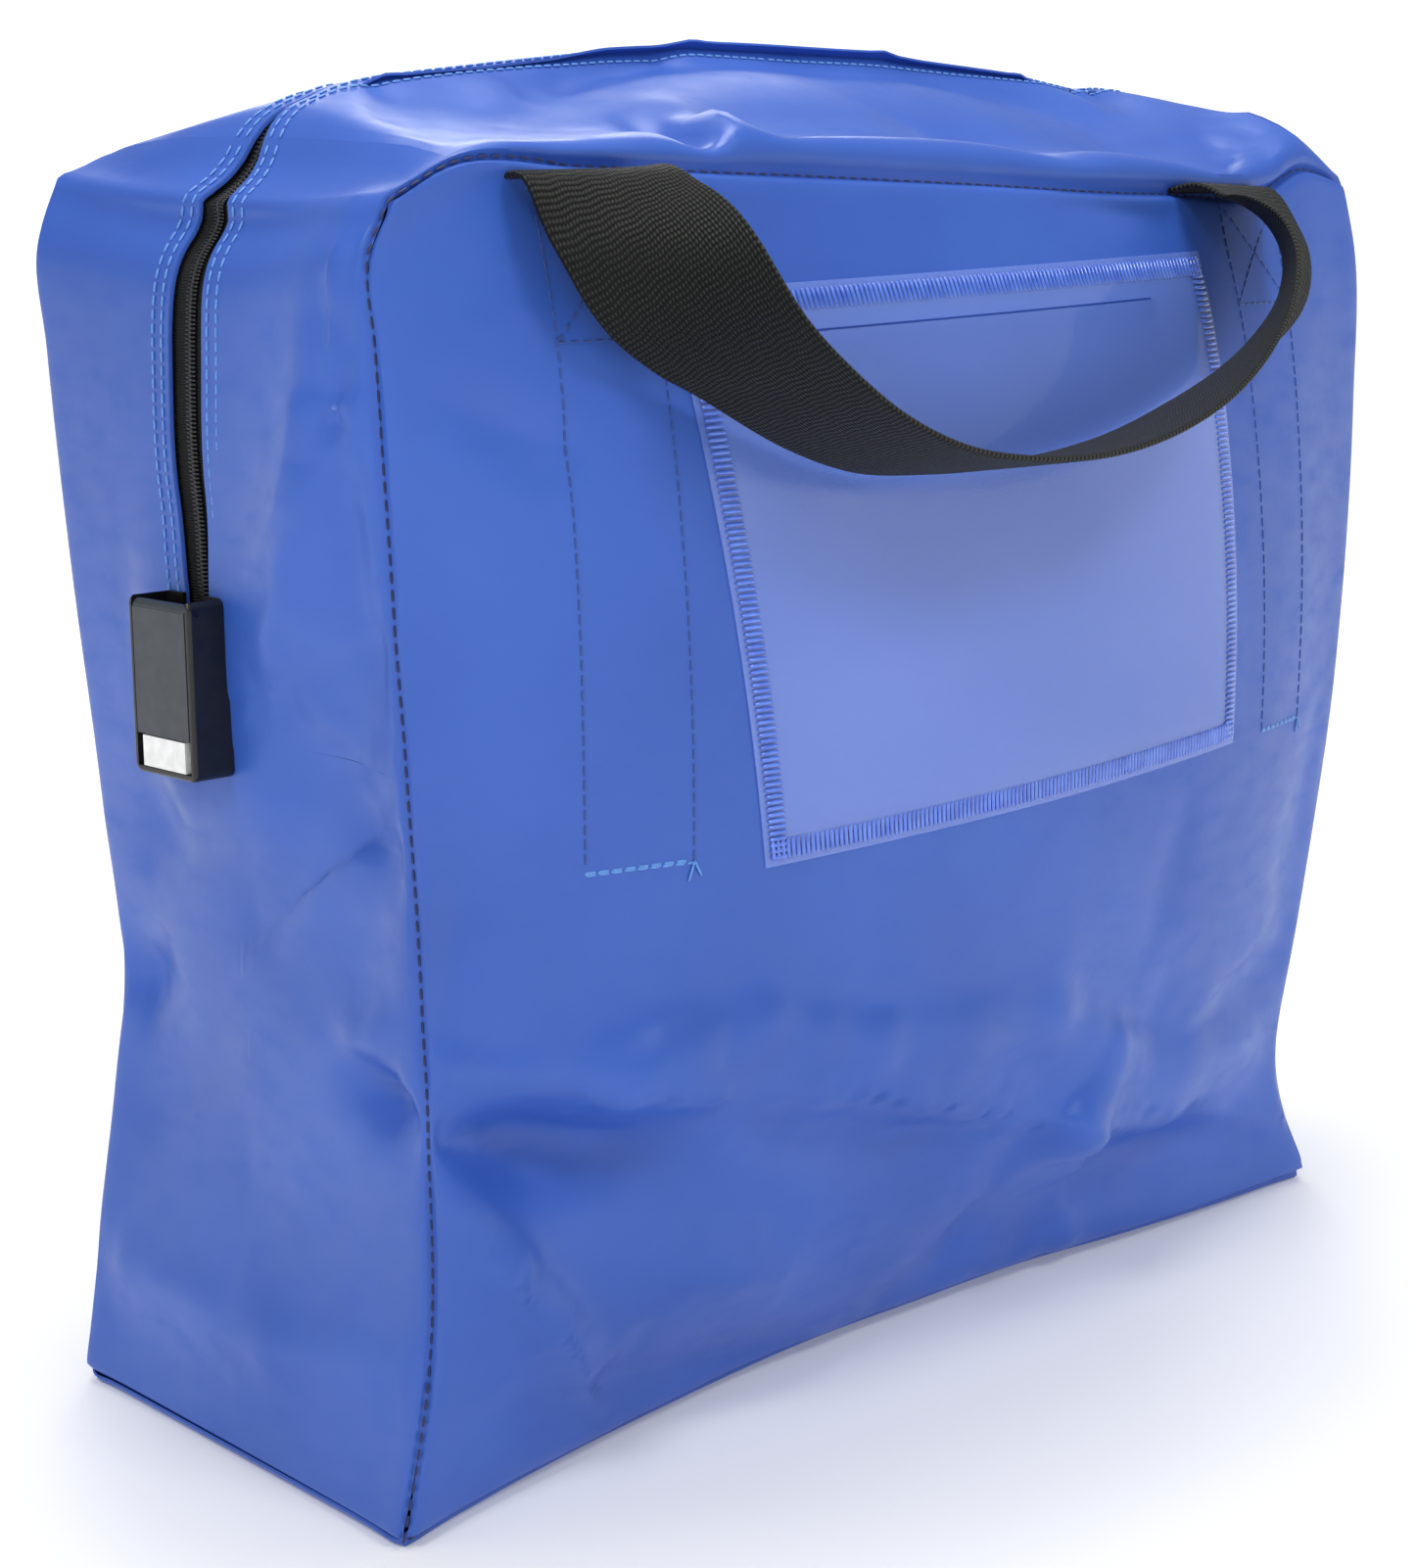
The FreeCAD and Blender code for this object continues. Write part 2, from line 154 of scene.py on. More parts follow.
def joined(grids, flips):
    """Points and faces of several grids; flips says which have their faces turned over."""
    faces, start = [], 0
    for grid, flip in zip(grids, flips):
        faces.append(grid_faces(*grid.shape[:2], start, flip))
        start += grid.shape[0] * grid.shape[1]
    return np.concatenate([g.reshape(-1, 3) for g in grids]), np.concatenate(faces)


def welded(points):
    """The first of each set of points that lie together, and the set that each point is in."""
    keys = np.round(points / 0.05).astype(np.int64)
    _, first, sets = np.unique(keys, axis=0, return_index=True, return_inverse=True)
    return first, np.ravel(sets)


def dealt(values, grids):
    """Rows of values dealt out in the shapes of the grids."""
    ends = np.cumsum([g.shape[0] * g.shape[1] for g in grids])
    return [part.reshape(g.shape) for part, g in zip(np.split(values, ends[:-1]), grids)]


EDGE_STEPS = np.array([0.0, 0.7, 1.5, 2.5, 3.8, 5.4, 7.4, 10.0])


def edged(length, step=4.5, first=True, last=True):
    """Shares of a length with close steps at its edges and even steps between."""
    start = EDGE_STEPS if first else EDGE_STEPS[:1]
    end = length - (EDGE_STEPS if last else EDGE_STEPS[:1])[::-1]
    count = max(int((end[0] - start[-1]) / step), 2)
    middle = np.linspace(start[-1], end[0], count + 1)[1:-1]
    return np.concatenate([start, middle, end]) / length


# ---- the bag's outline

# Side and top seams of the front and back panels: up the left side, over the top, down the
# right side. The top corners are halfway round their rounding.
FRONT_LEFT = [(-243, -92, 2), (-232, -92, 50), (-231, -93, 135), (-235, -91, 260), (-237, -87, 350),
              (-237, -85, 374), (-229, -86, 391)]
FRONT_TOP = [(-229, -86, 391), (-206, -87, 401), (-160, -89, 400), (-106, -90, 398), (10, -91, 394),
             (110, -90, 390), (176, -88, 390), (204, -86, 398), (229, -86, 393)]
FRONT_RIGHT = [(229, -86, 393), (239, -86, 370), (239, -88, 310), (229, -90, 205), (207, -92, 110),
               (196, -91, 52), (219, -91, 3)]
FRONT_LOW = [(-243, -92, 2), (-204, -86, 3), (-122, -77, 4), (-49, -74, 5), (2, -76, 5), (59, -79, 5),
             (110, -85, 4), (180, -90, 3), (219, -91, 3)]
BACK_LEFT = [(-238, 87, 3), (-230, 89, 48), (-220, 90, 98), (-214, 91, 131), (-218, 91, 198),
             (-226, 90, 277), (-232, 88, 345), (-235, 86, 378), (-226, 86, 398)]
BACK_TOP = [(-226, 86, 398), (-204, 87, 404), (-106, 90, 402), (10, 91, 398), (110, 90, 396),
            (190, 88, 400), (226, 86, 397)]
BACK_RIGHT = [(226, 86, 397), (238, 86, 374), (238, 88, 300), (230, 90, 200), (212, 91, 100),
              (204, 90, 45), (222, 87, 3)]
BACK_LOW = [(-238, 87, 3), (-120, 72, 5), (0, 66, 6), (120, 73, 5), (222, 87, 3)]

# Share of the front and back panels' bulge at shares of their height.
BELLY = [(0, 0), (0.06, 0.12), (0.14, 0.46), (0.22, 0.68), (0.34, 0.9), (0.52, 1.0), (0.74, 0.8),
         (0.9, 0.42), (1, 0)]
# Height of the domed top over its seams along X, and of the left end past its seams along Z.
DOME = [(-232, -4), (-215, 3), (-198, 11), (-178, 19), (-145, 29), (-92, 41), (-49, 48), (0, 51), (56, 51),
        (106, 46), (160, 38), (200, 29), (224, 13), (236, 0)]
LEFT_END = [(0, 0), (60, 3), (130, 4), (190, 4), (225, 4), (275, 4), (330, 3), (360, -1), (378, -6),
            (391, -10), (420, -12)]
RIGHT_END = [(0, 0), (60, 6), (200, 8), (340, 5), (378, -4), (420, -8)]

# Folds on the front panel: start and end (x, z), half width, height outwards.
FRONT_FOLDS = [
    (-172, 138, -118, 141, 9, 5.0), (-118, 141, -70, 126, 9, 6.0), (-70, 126, 20, 116, 10, 6.0),
    (20, 116, 70, 92, 12, 5.0), (-226, 118, -165, 103, 14, -10.0), (-95, 98, 10, 88, 20, -8.0),
    (-230, 124, -205, 82, 7, 5.0), (-205, 82, -166, 36, 9, 5.0), (-150, 60, -60, 52, 22, 3.5),
    (36, 68, 60, 96, 8, 5.0), (36, 68, -10, 30, 9, 3.5), (60, 46, 175, 40, 17, -9.0),
    (95, 108, 185, 96, 16, -6.0), (110, 78, 190, 66, 10, 4.0), (-222, 200, -226, 160, 8, -3.0),
    (-218, 330, -180, 318, 8, -2.0), (-200, 250, -196, 190, 22, -2.0),
]
# Folds on the left end: start and end (y, z), half width, height outwards.
END_FOLDS = [
    (-78, 384, -76, 330, 9, -9.0), (-76, 330, -80, 280, 8, -5.0), (-84, 322, -62, 328, 5, 3.0),
    (-84, 270, -34, 252, 9, 4.0), (-84, 240, -40, 222, 13, -5.0), (-62, 205, -16, 175, 7, 4.5),
    (-80, 190, -40, 160, 14, -4.0), (-90, 158, -58, 148, 6, 4.0), (-86, 130, -64, 136, 11, -8.0),
    (60, 140, 84, 132, 16, -6.0), (-84, 46, 70, 40, 16, 4.0), (-30, 90, 40, 96, 28, -4.0),
    (30, 200, 55, 180, 12, -2.5),
]
# Folds on the domed top: start and end (x, y), half width, height outwards.
TOP_FOLDS = [
    (-108, -92, -104, -58, 7, -6.0), (-92, -92, -82, -50, 10, 4.0), (70, -88, 20, -30, 26, -4.0),
    (120, -90, 165, -50, 18, -5.0), (176, -90, 196, -66, 6, -8.0), (205, -80, 214, -30, 9, 5.0),
    (-40, 88, -30, 50, 9, -4.0), (130, 88, 120, 50, 12, -5.0),
]


# Sharper creases on the same three: start and end, widths to the left and right of that run, height outwards.
FRONT_CREASES = [
    (-222, 146, -167, 128, 16, 9, 6.0), (-167, 128, -138, 125, 14, 10, 8.0),
    (-138, 125, -44, 102, 20, 12, 9.0), (-44, 102, 39, 72, 26, 14, 10.0), (39, 72, 101, 62, 24, 14, 9.0),
    (101, 62, 186, 34, 22, 12, 6.0), (-229, 122, -164, 108, 12, 10, -9.0),
    (-228, 116, -203, 78, 7, 16, 6.0), (-203, 78, -168, 34, 7, 18, 6.0), (-127, 58, -94, 46, 10, 12, 5.0),
    (39, 70, 52, 52, 8, 8, 4.0), (52, 52, 74, 12, 8, 9, 4.0), (11, 54, 8, 22, 12, 12, -4.0),
    (62, 50, 182, 26, 10, 14, -5.0), (-206, 146, -236, 158, 5, 7, -3.0), (-158, 140, -170, 128, 6, 6, 2.5),
    (-216, 197, -222, 163, 5, 9, -2.5), (40, 118, 99, 90, 12, 8, -3.0), (99, 90, 160, 112, 12, 9, 3.5),
    (-214, 334, -188, 322, 8, 5, -2.0), (-196, 396, -150, 384, 5, 9, -2.0), (60, 392, 110, 380, 8, 10, -3.0),
]
END_CREASES = [
    (-74, 386, -77, 363, 22, 6, 4.5), (-77, 363, -66, 334, 22, 8, 6.0), (-66, 332, -86, 334, 3, 4, 3.5),
    (-82, 329, -59, 308, 18, 10, 6.0), (-59, 308, -49, 279, 20, 13, 7.0), (-49, 279, -30, 251, 18, 12, 6.0),
    (-87, 267, -30, 250, 9, 13, -6.0), (-86, 206, -68, 210, 12, 9, -5.0), (-68, 210, -16, 173, 14, 8, -8.0),
    (-90, 140, -60, 148, 5, 7, 3.5), (-88, 128, -66, 134, 8, 8, -5.0), (62, 146, 88, 134, 10, 8, -5.0),
    (-90, 52, -20, 40, 12, 9, 3.0), (-20, 40, 70, 46, 12, 9, 3.0), (20, 120, 60, 96, 14, 9, -3.0),
    (30, 206, 58, 182, 9, 7, -2.5), (-72, 232, -50, 246, 8, 6, 2.5),
]
TOP_CREASES = [
    (-112, -92, -101, -60, 9, 6, -6.0), (-100, -92, -86, -66, 6, 8, 3.0), (70, -92, 24, -46, 14, 9, -3.5),
    (150, -92, 176, -70, 9, 6, -5.0), (182, -90, 204, -60, 6, 9, 4.0), (-60, 90, -44, 62, 8, 6, -4.0),
    (-210, -84, -180, -60, 8, 8, -2.0), (140, 90, 130, 60, 9, 7, -4.0),
]


def folds(first, second, listed, fade=0.45, power=2):
    """Total height of the listed folds at points (first, second) of a panel.

    fade is the height lost at a fold's ends, and power says how steeply its flanks fall."""
    total = np.zeros(np.shape(first))
    for a0, b0, a1, b1, *wide, high in listed:
        run = np.array([a1 - a0, b1 - b0], float)
        share = np.clip(((first - a0) * run[0] + (second - b0) * run[1]) / (run @ run), 0, 1)
        from_a, from_b = first - a0 - share * run[0], second - b0 - share * run[1]
        reach = np.where(run[0] * from_b - run[1] * from_a > 0, wide[0], wide[-1])
        flank = np.exp(-((np.hypot(from_a, from_b) / reach) ** power))
        total += high * (1 - fade * np.abs(2 * share - 1)) * flank
    return total


def creases(first, second, listed):
    return folds(first, second, listed, 0.25, 1.35)


SIDE_COUNT = int(SEAM_Z / GRID) + 4
TOP_COUNT = int(WIDTH / GRID)
DEEP_COUNT = int(DEPTH / GRID) + 1


def seam_points(points, count):
    """Evenly spaced points along the smooth curve through a seam's points."""
    points = np.asarray(points, float)
    knots = lengths(points)
    fine = hermite(knots, points, np.linspace(0, knots[-1], 40 * len(points)))
    far = lengths(fine)
    at = np.linspace(0, 1, count) * far[-1]
    return np.stack([np.interp(at, far, fine[:, k]) for k in range(3)], 1)


def panel_target(left, top, right, low, side, listed):
    """A front or back panel before it is relaxed: bulged and folded inside its seams."""
    grid = coons(
        seam_points(low, TOP_COUNT),
        seam_points(top, TOP_COUNT),
        seam_points(left, SIDE_COUNT),
        seam_points(right[::-1], SIDE_COUNT),
    )
    over = np.linspace(-1, 1, TOP_COUNT)[None, :]
    up = np.linspace(0, 1, SIDE_COUNT)[:, None]
    inside = np.minimum(1, 6 * (1 - np.abs(over))) * np.minimum(1, 7 * up) * np.minimum(1, 7 * (1 - up))
    push = BULGE * table(BELLY, up) * (1 - over**2) + inside * folds(grid[..., 0], grid[..., 2], listed)
    grid[..., 1] += side * push
    return grid


def band_target():
    """The gusset before it is relaxed: up the left end, over the domed top, down the right end."""
    front, back = (
        np.concatenate([
            seam_points(left, SIDE_COUNT),
            seam_points(top, TOP_COUNT)[1:],
            seam_points(right, SIDE_COUNT)[1:],
        ])
        for left, top, right in ((FRONT_LEFT, FRONT_TOP, FRONT_RIGHT), (BACK_LEFT, BACK_TOP, BACK_RIGHT))
    )
    over = np.linspace(0, 1, DEEP_COUNT)[None, :, None]
    grid = (1 - over) * front[:, None] + over * back[:, None]
    path = np.gradient((front + back) / 2, axis=0)
    for _ in range(3):
        path[1:-1] = (path[:-2] + path[1:-1] + path[2:]) / 3
    outward = unit(np.stack([-path[:, 2], 0 * path[:, 0], path[:, 0]], 1))
    x, y, z = grid[..., 0], grid[..., 1], grid[..., 2]
    is_top, is_left, is_right = (
        np.clip(part, 0, 1)[:, None] ** 2 for part in (outward[:, 2], -outward[:, 0], outward[:, 0])
    )
    share = over[..., 0]
    arch = np.sin(np.pi * share) ** 0.72
    flat_arch = np.sin(np.pi * share) ** 0.8
    height = (
        is_top * table(DOME, np.clip(x, -232, 236)) * arch
        + is_left * table(LEFT_END, np.clip(z, 0, 420)) * flat_arch
        + is_right * table(RIGHT_END, np.clip(z, 0, 420)) * flat_arch
    )
    inside = np.minimum(1, 9 * share) * np.minimum(1, 9 * (1 - share))
    height = height + inside * (is_top * folds(x, y, TOP_FOLDS) + is_left * folds(y, z, END_FOLDS))
    grid = grid + outward[:, None] * height[..., None]
    # The top rolls outward beside its two seams.
    front_roll, back_roll = (np.sin(np.pi * np.clip(part / 0.16, 0, 1)) for part in (share, 1 - share))
    grid[..., 1] -= 6.0 * is_top * (front_roll - back_roll)
    return grid


def underside_target():
    """The part of the gusset that the bag stands on; rows run front to back."""
    left = np.linspace(seam_points(FRONT_LEFT, 2)[0], seam_points(BACK_LEFT, 2)[0], DEEP_COUNT)
    right = np.linspace(seam_points(FRONT_RIGHT, 2)[-1], seam_points(BACK_RIGHT, 2)[-1], DEEP_COUNT)
    grid = coons(seam_points(FRONT_LOW, TOP_COUNT), seam_points(BACK_LOW, TOP_COUNT), left, right)
    up = np.linspace(0, 1, DEEP_COUNT)[:, None]
    grid[..., 2] = np.maximum(grid[..., 2] - 7 * np.sin(np.pi * up) ** 0.5, FLOOR_GAP)
    return grid


# ---- cloth

CUT_LARGER = 1.022
MOST_MOVE = 14.0
CLOTH_FRAMES, CACHE_FRAMES = 24, 30

def relax(grids, holds):
    """Lets the welded panels buckle as coated cloth cut a little larger than the shape that holds it.

    holds says for each grid how firmly its points are kept, 0 to 1. Returns the relaxed grids."""
    points, faces = joined(grids, [False] * len(grids))
    first, sets = welded(points)
    unique = points[first]
    firm = np.zeros(len(unique))
    np.maximum.at(firm, sets, np.concatenate([np.ravel(h) for h in holds]))
    mesh = bpy.data.meshes.new("cloth")
    mesh.from_pydata((unique * MM).tolist(), [], sets[faces].tolist())
    cloth = bpy.data.objects.new("cloth", mesh)
    scene.collection.objects.link(cloth)
    hold = cloth.vertex_groups.new(name="hold")
    for n, weight in enumerate(firm):
        hold.add([n], float(weight), "REPLACE")
    cloth.shape_key_add(name="held")
    cut = cloth.shape_key_add(name="cut")
    centre = np.array([0, 0, SEAM_Z / 2])
    larger = (centre + (unique - centre) * CUT_LARGER) * MM
    cut.data.foreach_set("co", larger.ravel())
    cut.value = 0
    sim = cloth.modifiers.new("cloth", "CLOTH")
    fabric = sim.settings
    fabric.quality = 6
    fabric.mass = 0.25
    for way, stiffness in (("tension", 60), ("compression", 60), ("shear", 30)):
        setattr(fabric, f"{way}_stiffness", stiffness)
        setattr(fabric, f"{way}_damping", 20)
    fabric.bending_model = "ANGULAR"
    fabric.bending_stiffness = 6.0
    fabric.air_damping = 3
    fabric.vertex_group_mass = "hold"
    fabric.pin_stiffness = 1.0
    fabric.rest_shape_key = cut
    fabric.effector_weights.gravity = 0.15
    sim.collision_settings.use_collision = False
    for timed in (scene, sim.point_cache):
        timed.frame_start, timed.frame_end = 1, CACHE_FRAMES
    for number in range(1, CLOTH_FRAMES + 1):
        scene.frame_set(number)
    moved = cloth.evaluated_get(bpy.context.evaluated_depsgraph_get()).to_mesh()
    settled = np.zeros(len(unique) * 3)
    moved.vertices.foreach_get("co", settled)
    settled = settled.reshape(-1, 3) / MM
    step = settled - unique
    far = np.linalg.norm(step, axis=1, keepdims=True)
    step *= np.minimum(1, MOST_MOVE / np.maximum(far, 1e-6))
    settled = unique + step
    settled[:, 2] = np.maximum(settled[:, 2], FLOOR_GAP)
    bpy.data.objects.remove(cloth)
    scene.frame_set(1)
    return dealt(settled[sets], grids)


def hold_of(shape, rim, middle):
    """Weights over a grid: rim on its edges, middle inside."""
    weights = np.full(shape[:2], middle)
    weights[[0, -1]] = rim
    weights[:, [0, -1]] = rim
    return weights


front_target = panel_target(FRONT_LEFT, FRONT_TOP, FRONT_RIGHT, FRONT_LOW, -1, FRONT_FOLDS)
back_folds = [(-x0 * 0.9, z0, -x1 * 0.9, z1, w, h) for x0, z0, x1, z1, w, h in FRONT_FOLDS]
back_target = panel_target(BACK_LEFT, BACK_TOP, BACK_RIGHT, BACK_LOW, 1, back_folds)
targets = [front_target, back_target, band_target(), underside_target()]
weights = [hold_of(t.shape, 1.0, 0.02) for t in targets]
weights[2][:, DEEP_COUNT // 2] = 0.3
# The welded window and the sewn handle ends stiffen this much of the front and back.
STIFF_X, STIFF_LOW, STIFF_HIGH, STIFF_FADE, STIFF_HOLD = 178, 190, 372, 24, 0.28
for target, hold in zip(targets[:2], weights[:2]):
    beyond = outside(target[..., 0], -STIFF_X, STIFF_X), outside(target[..., 2], STIFF_LOW, STIFF_HIGH)
    hold += STIFF_HOLD * (1 - smoothstep(0, STIFF_FADE, np.hypot(*beyond))) * (hold < 0.5)
FRONT, BACK, BAND, UNDER = relax(targets, weights)


def seat_lock(grid):
    """Presses the left end flat against the lock's base."""
    beyond_y = outside(grid[..., 1], cad("lock_housing", 0, "y"), cad("lock_housing", 1, "y"))
    beyond_z = outside(grid[..., 2], LOCK_LOW, LOCK_TOP)
    near = 1 - smoothstep(3, 34, np.hypot(beyond_y, beyond_z))
    on_end = grid[..., 0] < -0.8 * HALF_W
    seated = grid[..., 0] * (1 - near) + (0.2 - HALF_W) * near
    grid[..., 0] = np.where(on_end, seated, grid[..., 0])


seat_lock(BAND)

# ---- seams shared by the panels

OUTWARD = [-normals(FRONT), normals(BACK), normals(BAND), normals(UNDER)]


def seam_normals(grids, outward):
    """Outward normals in which points that several panels share have their mean."""
    _, sets = welded(np.concatenate([g.reshape(-1, 3) for g in grids]))
    total = np.zeros((sets.max() + 1, 3))
    np.add.at(total, sets, np.concatenate([v.reshape(-1, 3) for v in outward]))
    return dealt(unit(total)[sets], grids)


SHARED = seam_normals([FRONT, BACK, BAND, UNDER], OUTWARD)
GROOVE, GROOVE_HALF = 2.6, 1.5
PUFF, PUFF_AT = 0.8, 5


def sewn(grid, shared, rows, cols, edges, tall, wide, creased=None):
    """A fine panel whose sewn edges turn in between puffed rims.

    edges says which of the low, high, left and right edges are sewn, and creased gives the
    height of the creases from the points and their normals."""
    rows = np.asarray(rows)
    cols = np.broadcast_to(cols, (len(rows), np.shape(cols)[-1]))
    fine = resample(grid, rows, cols)
    lifted = resample(grid + 0.5 * shared, rows, cols) - fine
    own = normals(fine)
    own *= np.sign(np.sum(own * lifted, axis=2).mean())
    up, over = rows[:, None] + 0 * cols, cols
    away = {"low": up * tall, "high": (1 - up) * tall, "left": over * wide, "right": (1 - over) * wide}
    if creased is not None:
        free = np.minimum.reduce(list(away.values()))
        fine = fine + own * (creased(fine, own) * np.clip(free / 7, 0.05, 1))[..., None]
        own = normals(fine) * np.sign(np.sum(own * normals(fine), axis=2, keepdims=True))
    row_knots, col_knots = (np.linspace(0, 1, count) for count in grid.shape[:2])
    at_edge = {
        "low": hermite(col_knots, shared[0], cols.ravel()).reshape(fine.shape),
        "high": hermite(col_knots, shared[-1], cols.ravel()).reshape(fine.shape),
        "left": hermite(row_knots, shared[:, 0], rows)[:, None] + 0 * fine,
        "right": hermite(row_knots, shared[:, -1], rows)[:, None] + 0 * fine,
    }
    sunk, total = np.zeros(fine.shape), np.zeros(fine.shape[:2])
    for edge in edges:
        near = np.exp(-((away[edge] / GROOVE_HALF) ** 2))
        sunk += at_edge[edge] * near[..., None]
        total += near
        puff = PUFF * away[edge] / PUFF_AT * np.exp(1 - away[edge] / PUFF_AT)
        fine = fine + own * puff[..., None] * np.minimum(1, away[edge] / 2)[..., None]
    return fine - GROOVE * sunk / np.maximum(1, total)[..., None]


# ---- meshes

def new_piece(name, points, faces, material, uvs=None, weld=0.0, sharp=40):
    """An object from points in millimetres; material is (material, slot)."""
    name = name + "_sewn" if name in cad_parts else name
    mesh = bpy.data.meshes.new(name)
    mesh.from_pydata((np.asarray(points, float) * MM).tolist(), [], [list(map(int, f)) for f in faces])
    if uvs is not None:
        layer = mesh.uv_layers.new(name="UVMap")
        corner = np.empty(len(mesh.loops), dtype=np.int32)
        mesh.loops.foreach_get("vertex_index", corner)
        layer.data.foreach_set("uv", np.asarray(uvs, np.float32)[corner].ravel())
    if weld:
        built = bmesh.new()
        built.from_mesh(mesh)
        bmesh.ops.remove_doubles(built, verts=built.verts, dist=weld * MM)
        bmesh.ops.dissolve_degenerate(built, edges=built.edges, dist=1e-6)
        built.to_mesh(mesh)
        built.free()
    mesh.validate()
    mesh.polygons.foreach_set("use_smooth", [True] * len(mesh.polygons))
    mesh.set_sharp_from_angle(angle=math.radians(sharp))
    mesh.materials.append(material[0])
    piece = bpy.data.objects.new(name, mesh)
    scene.collection.objects.link(piece)
    return piece


def thicken(piece, thickness):
    """Makes a sheet solid, growing against its normals."""
    solid = piece.modifiers.new("thickness", "SOLIDIFY")
    solid.thickness = thickness * MM
    solid.offset = -1
    solid.use_rim = True
    bpy.context.view_layer.update()
    final = bpy.data.meshes.new_from_object(piece.evaluated_get(bpy.context.evaluated_depsgraph_get()))
    piece.modifiers.clear()
    old, piece.data = piece.data, final
    bpy.data.meshes.remove(old)
    final.set_sharp_from_angle(angle=math.radians(50))


def on_bag(piece, node=None):
    """Fixes a piece to the bag's body, in place of a CAD node if one is given."""
    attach(piece, "bag")
    if node:
        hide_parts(node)


def ring_faces(rings, count):
    """Faces between rings of count points each."""
    return [
        (row * count + k, row * count + after, (row + 1) * count + after, (row + 1) * count + k)
        for row in range(rings - 1) for k, after in zip(range(count), [*range(1, count), 0])
    ]


def tube(rings, count):
    """Faces of a tube of rings with its two caps."""
    last = (rings - 1) * count
    return [*ring_faces(rings, count), tuple(range(count))[::-1], tuple(range(last, last + count))]


def rods(name, ends, radius, material, flat, up, sides=6):
    """Short rounded rods between pairs of points, as stitches or teeth. up gives each rod's flat way."""
    ends = np.asarray(ends, float)
    along = unit(ends[:, 1] - ends[:, 0])
    side = unit(np.cross(along, np.asarray(up, float)))
    up = np.cross(side, along)
    stations = [(0.0, 0.45), (0.12, 0.9), (0.5, 1.0), (0.88, 0.9), (1.0, 0.45)]
    turns = (2 * np.pi * np.arange(sides) / sides)[None, :, None]
    rim = np.cos(turns) * side[:, None] + flat * np.sin(turns) * up[:, None]
    start, run = ends[:, 0], ends[:, 1] - ends[:, 0]
    rings = [(start + share * run)[:, None] + radius * scale * rim for share, scale in stations]
    one, per = tube(len(stations), sides), len(stations) * sides
    faces = [tuple(v + n * per for v in face) for n in range(len(ends)) for face in one]
    return new_piece(name, np.stack(rings, 1).reshape(-1, 3), faces, material, sharp=60)


def dashes(line, length, gap):
    """Start and end points of stitches along a polyline."""
    line = np.asarray(line, float)
    far = lengths(line)
    starts = np.arange(0, far[-1] - length, length + gap)
    places = np.stack([starts, starts + length], 1)
    return np.stack([np.interp(places, far, line[:, k]) for k in range(3)], -1)


def spread(ways, count):
    """count of the listed directions, evenly chosen."""
    return ways[np.linspace(0, len(ways) - 1, count).astype(int)]


# ---- materials


class Surface:
    """A principled material with a few helpers for its node tree."""

    def __init__(self, name, colour, roughness, others=None):
        self.material = bpy.data.materials.new(name)
        self.material.use_nodes = True
        self.nodes = self.material.node_tree.nodes
        self.links = self.material.node_tree.links
        self.shader = self.nodes["Principled BSDF"]
        values = {"Base Color": (*colour, 1), "Roughness": roughness, **(others or {})}
        for socket, value in values.items():
            self.shader.inputs[socket].default_value = value
        self.place = self.nodes.new("ShaderNodeTexCoord").outputs["Object"]

    def node(self, kind, output, inputs, **settings):
        """Adds a node; inputs are values or other nodes' outputs."""
        made = self.nodes.new("ShaderNode" + kind)
        for setting, value in settings.items():
            setattr(made, setting, value)
        for socket, value in inputs.items():
            if isinstance(value, bpy.types.NodeSocket):
                self.links.new(value, made.inputs[socket])
            else:
                made.inputs[socket].default_value = value
        return made.outputs[output]

    def stretched(self, stretch):
        scaled = {"Scale": stretch, "Vector": self.place}
        return self.node("Mapping", "Vector", scaled) if stretch else self.place

    def noise(self, scale, detail=3.0, stretch=None):
        inputs = {"Scale": scale, "Detail": detail, "Vector": self.stretched(stretch)}
        return self.node("TexNoise", "Fac", inputs)

    def cells(self, scale):
        return self.node("TexVoronoi", "Distance", {"Scale": scale, "Vector": self.place})

    def maths(self, kind, first, second=0.0):
        return self.node("Math", "Value", {0: first, 1: second}, operation=kind)

    def ramp(self, factor, *stops):
        """Colour or grey at places along factor: stops are (place, colour)."""
        node = self.nodes.new("ShaderNodeValToRGB")
        marks = node.color_ramp.elements
        while len(marks) < len(stops):
            marks.new(0.5)
        for mark, (place, colour) in zip(marks, stops):
            mark.position = place
            mark.color = (*colour, 1) if isinstance(colour, tuple) else (colour,) * 3 + (1,)
        self.links.new(factor, node.inputs["Fac"])
        return node.outputs["Color"]

    def drive(self, socket, value):
        self.links.new(value, self.shader.inputs[socket])

    def bump(self, height, distance, strength=1.0, under=None):
        inputs = {"Distance": distance * MM, "Strength": strength, "Height": height}
        return self.node("Bump", "Normal", {**inputs, "Normal": under} if under else inputs)

    def along(self):
        """Separate across and along places of a tape or strap, from its UV map, in tens of millimetres."""
        uv = self.node("UVMap", "UV", {}, uv_map="UVMap")
        return [self.node("SeparateXYZ", axis, {"Vector": uv}) for axis in "XY"]


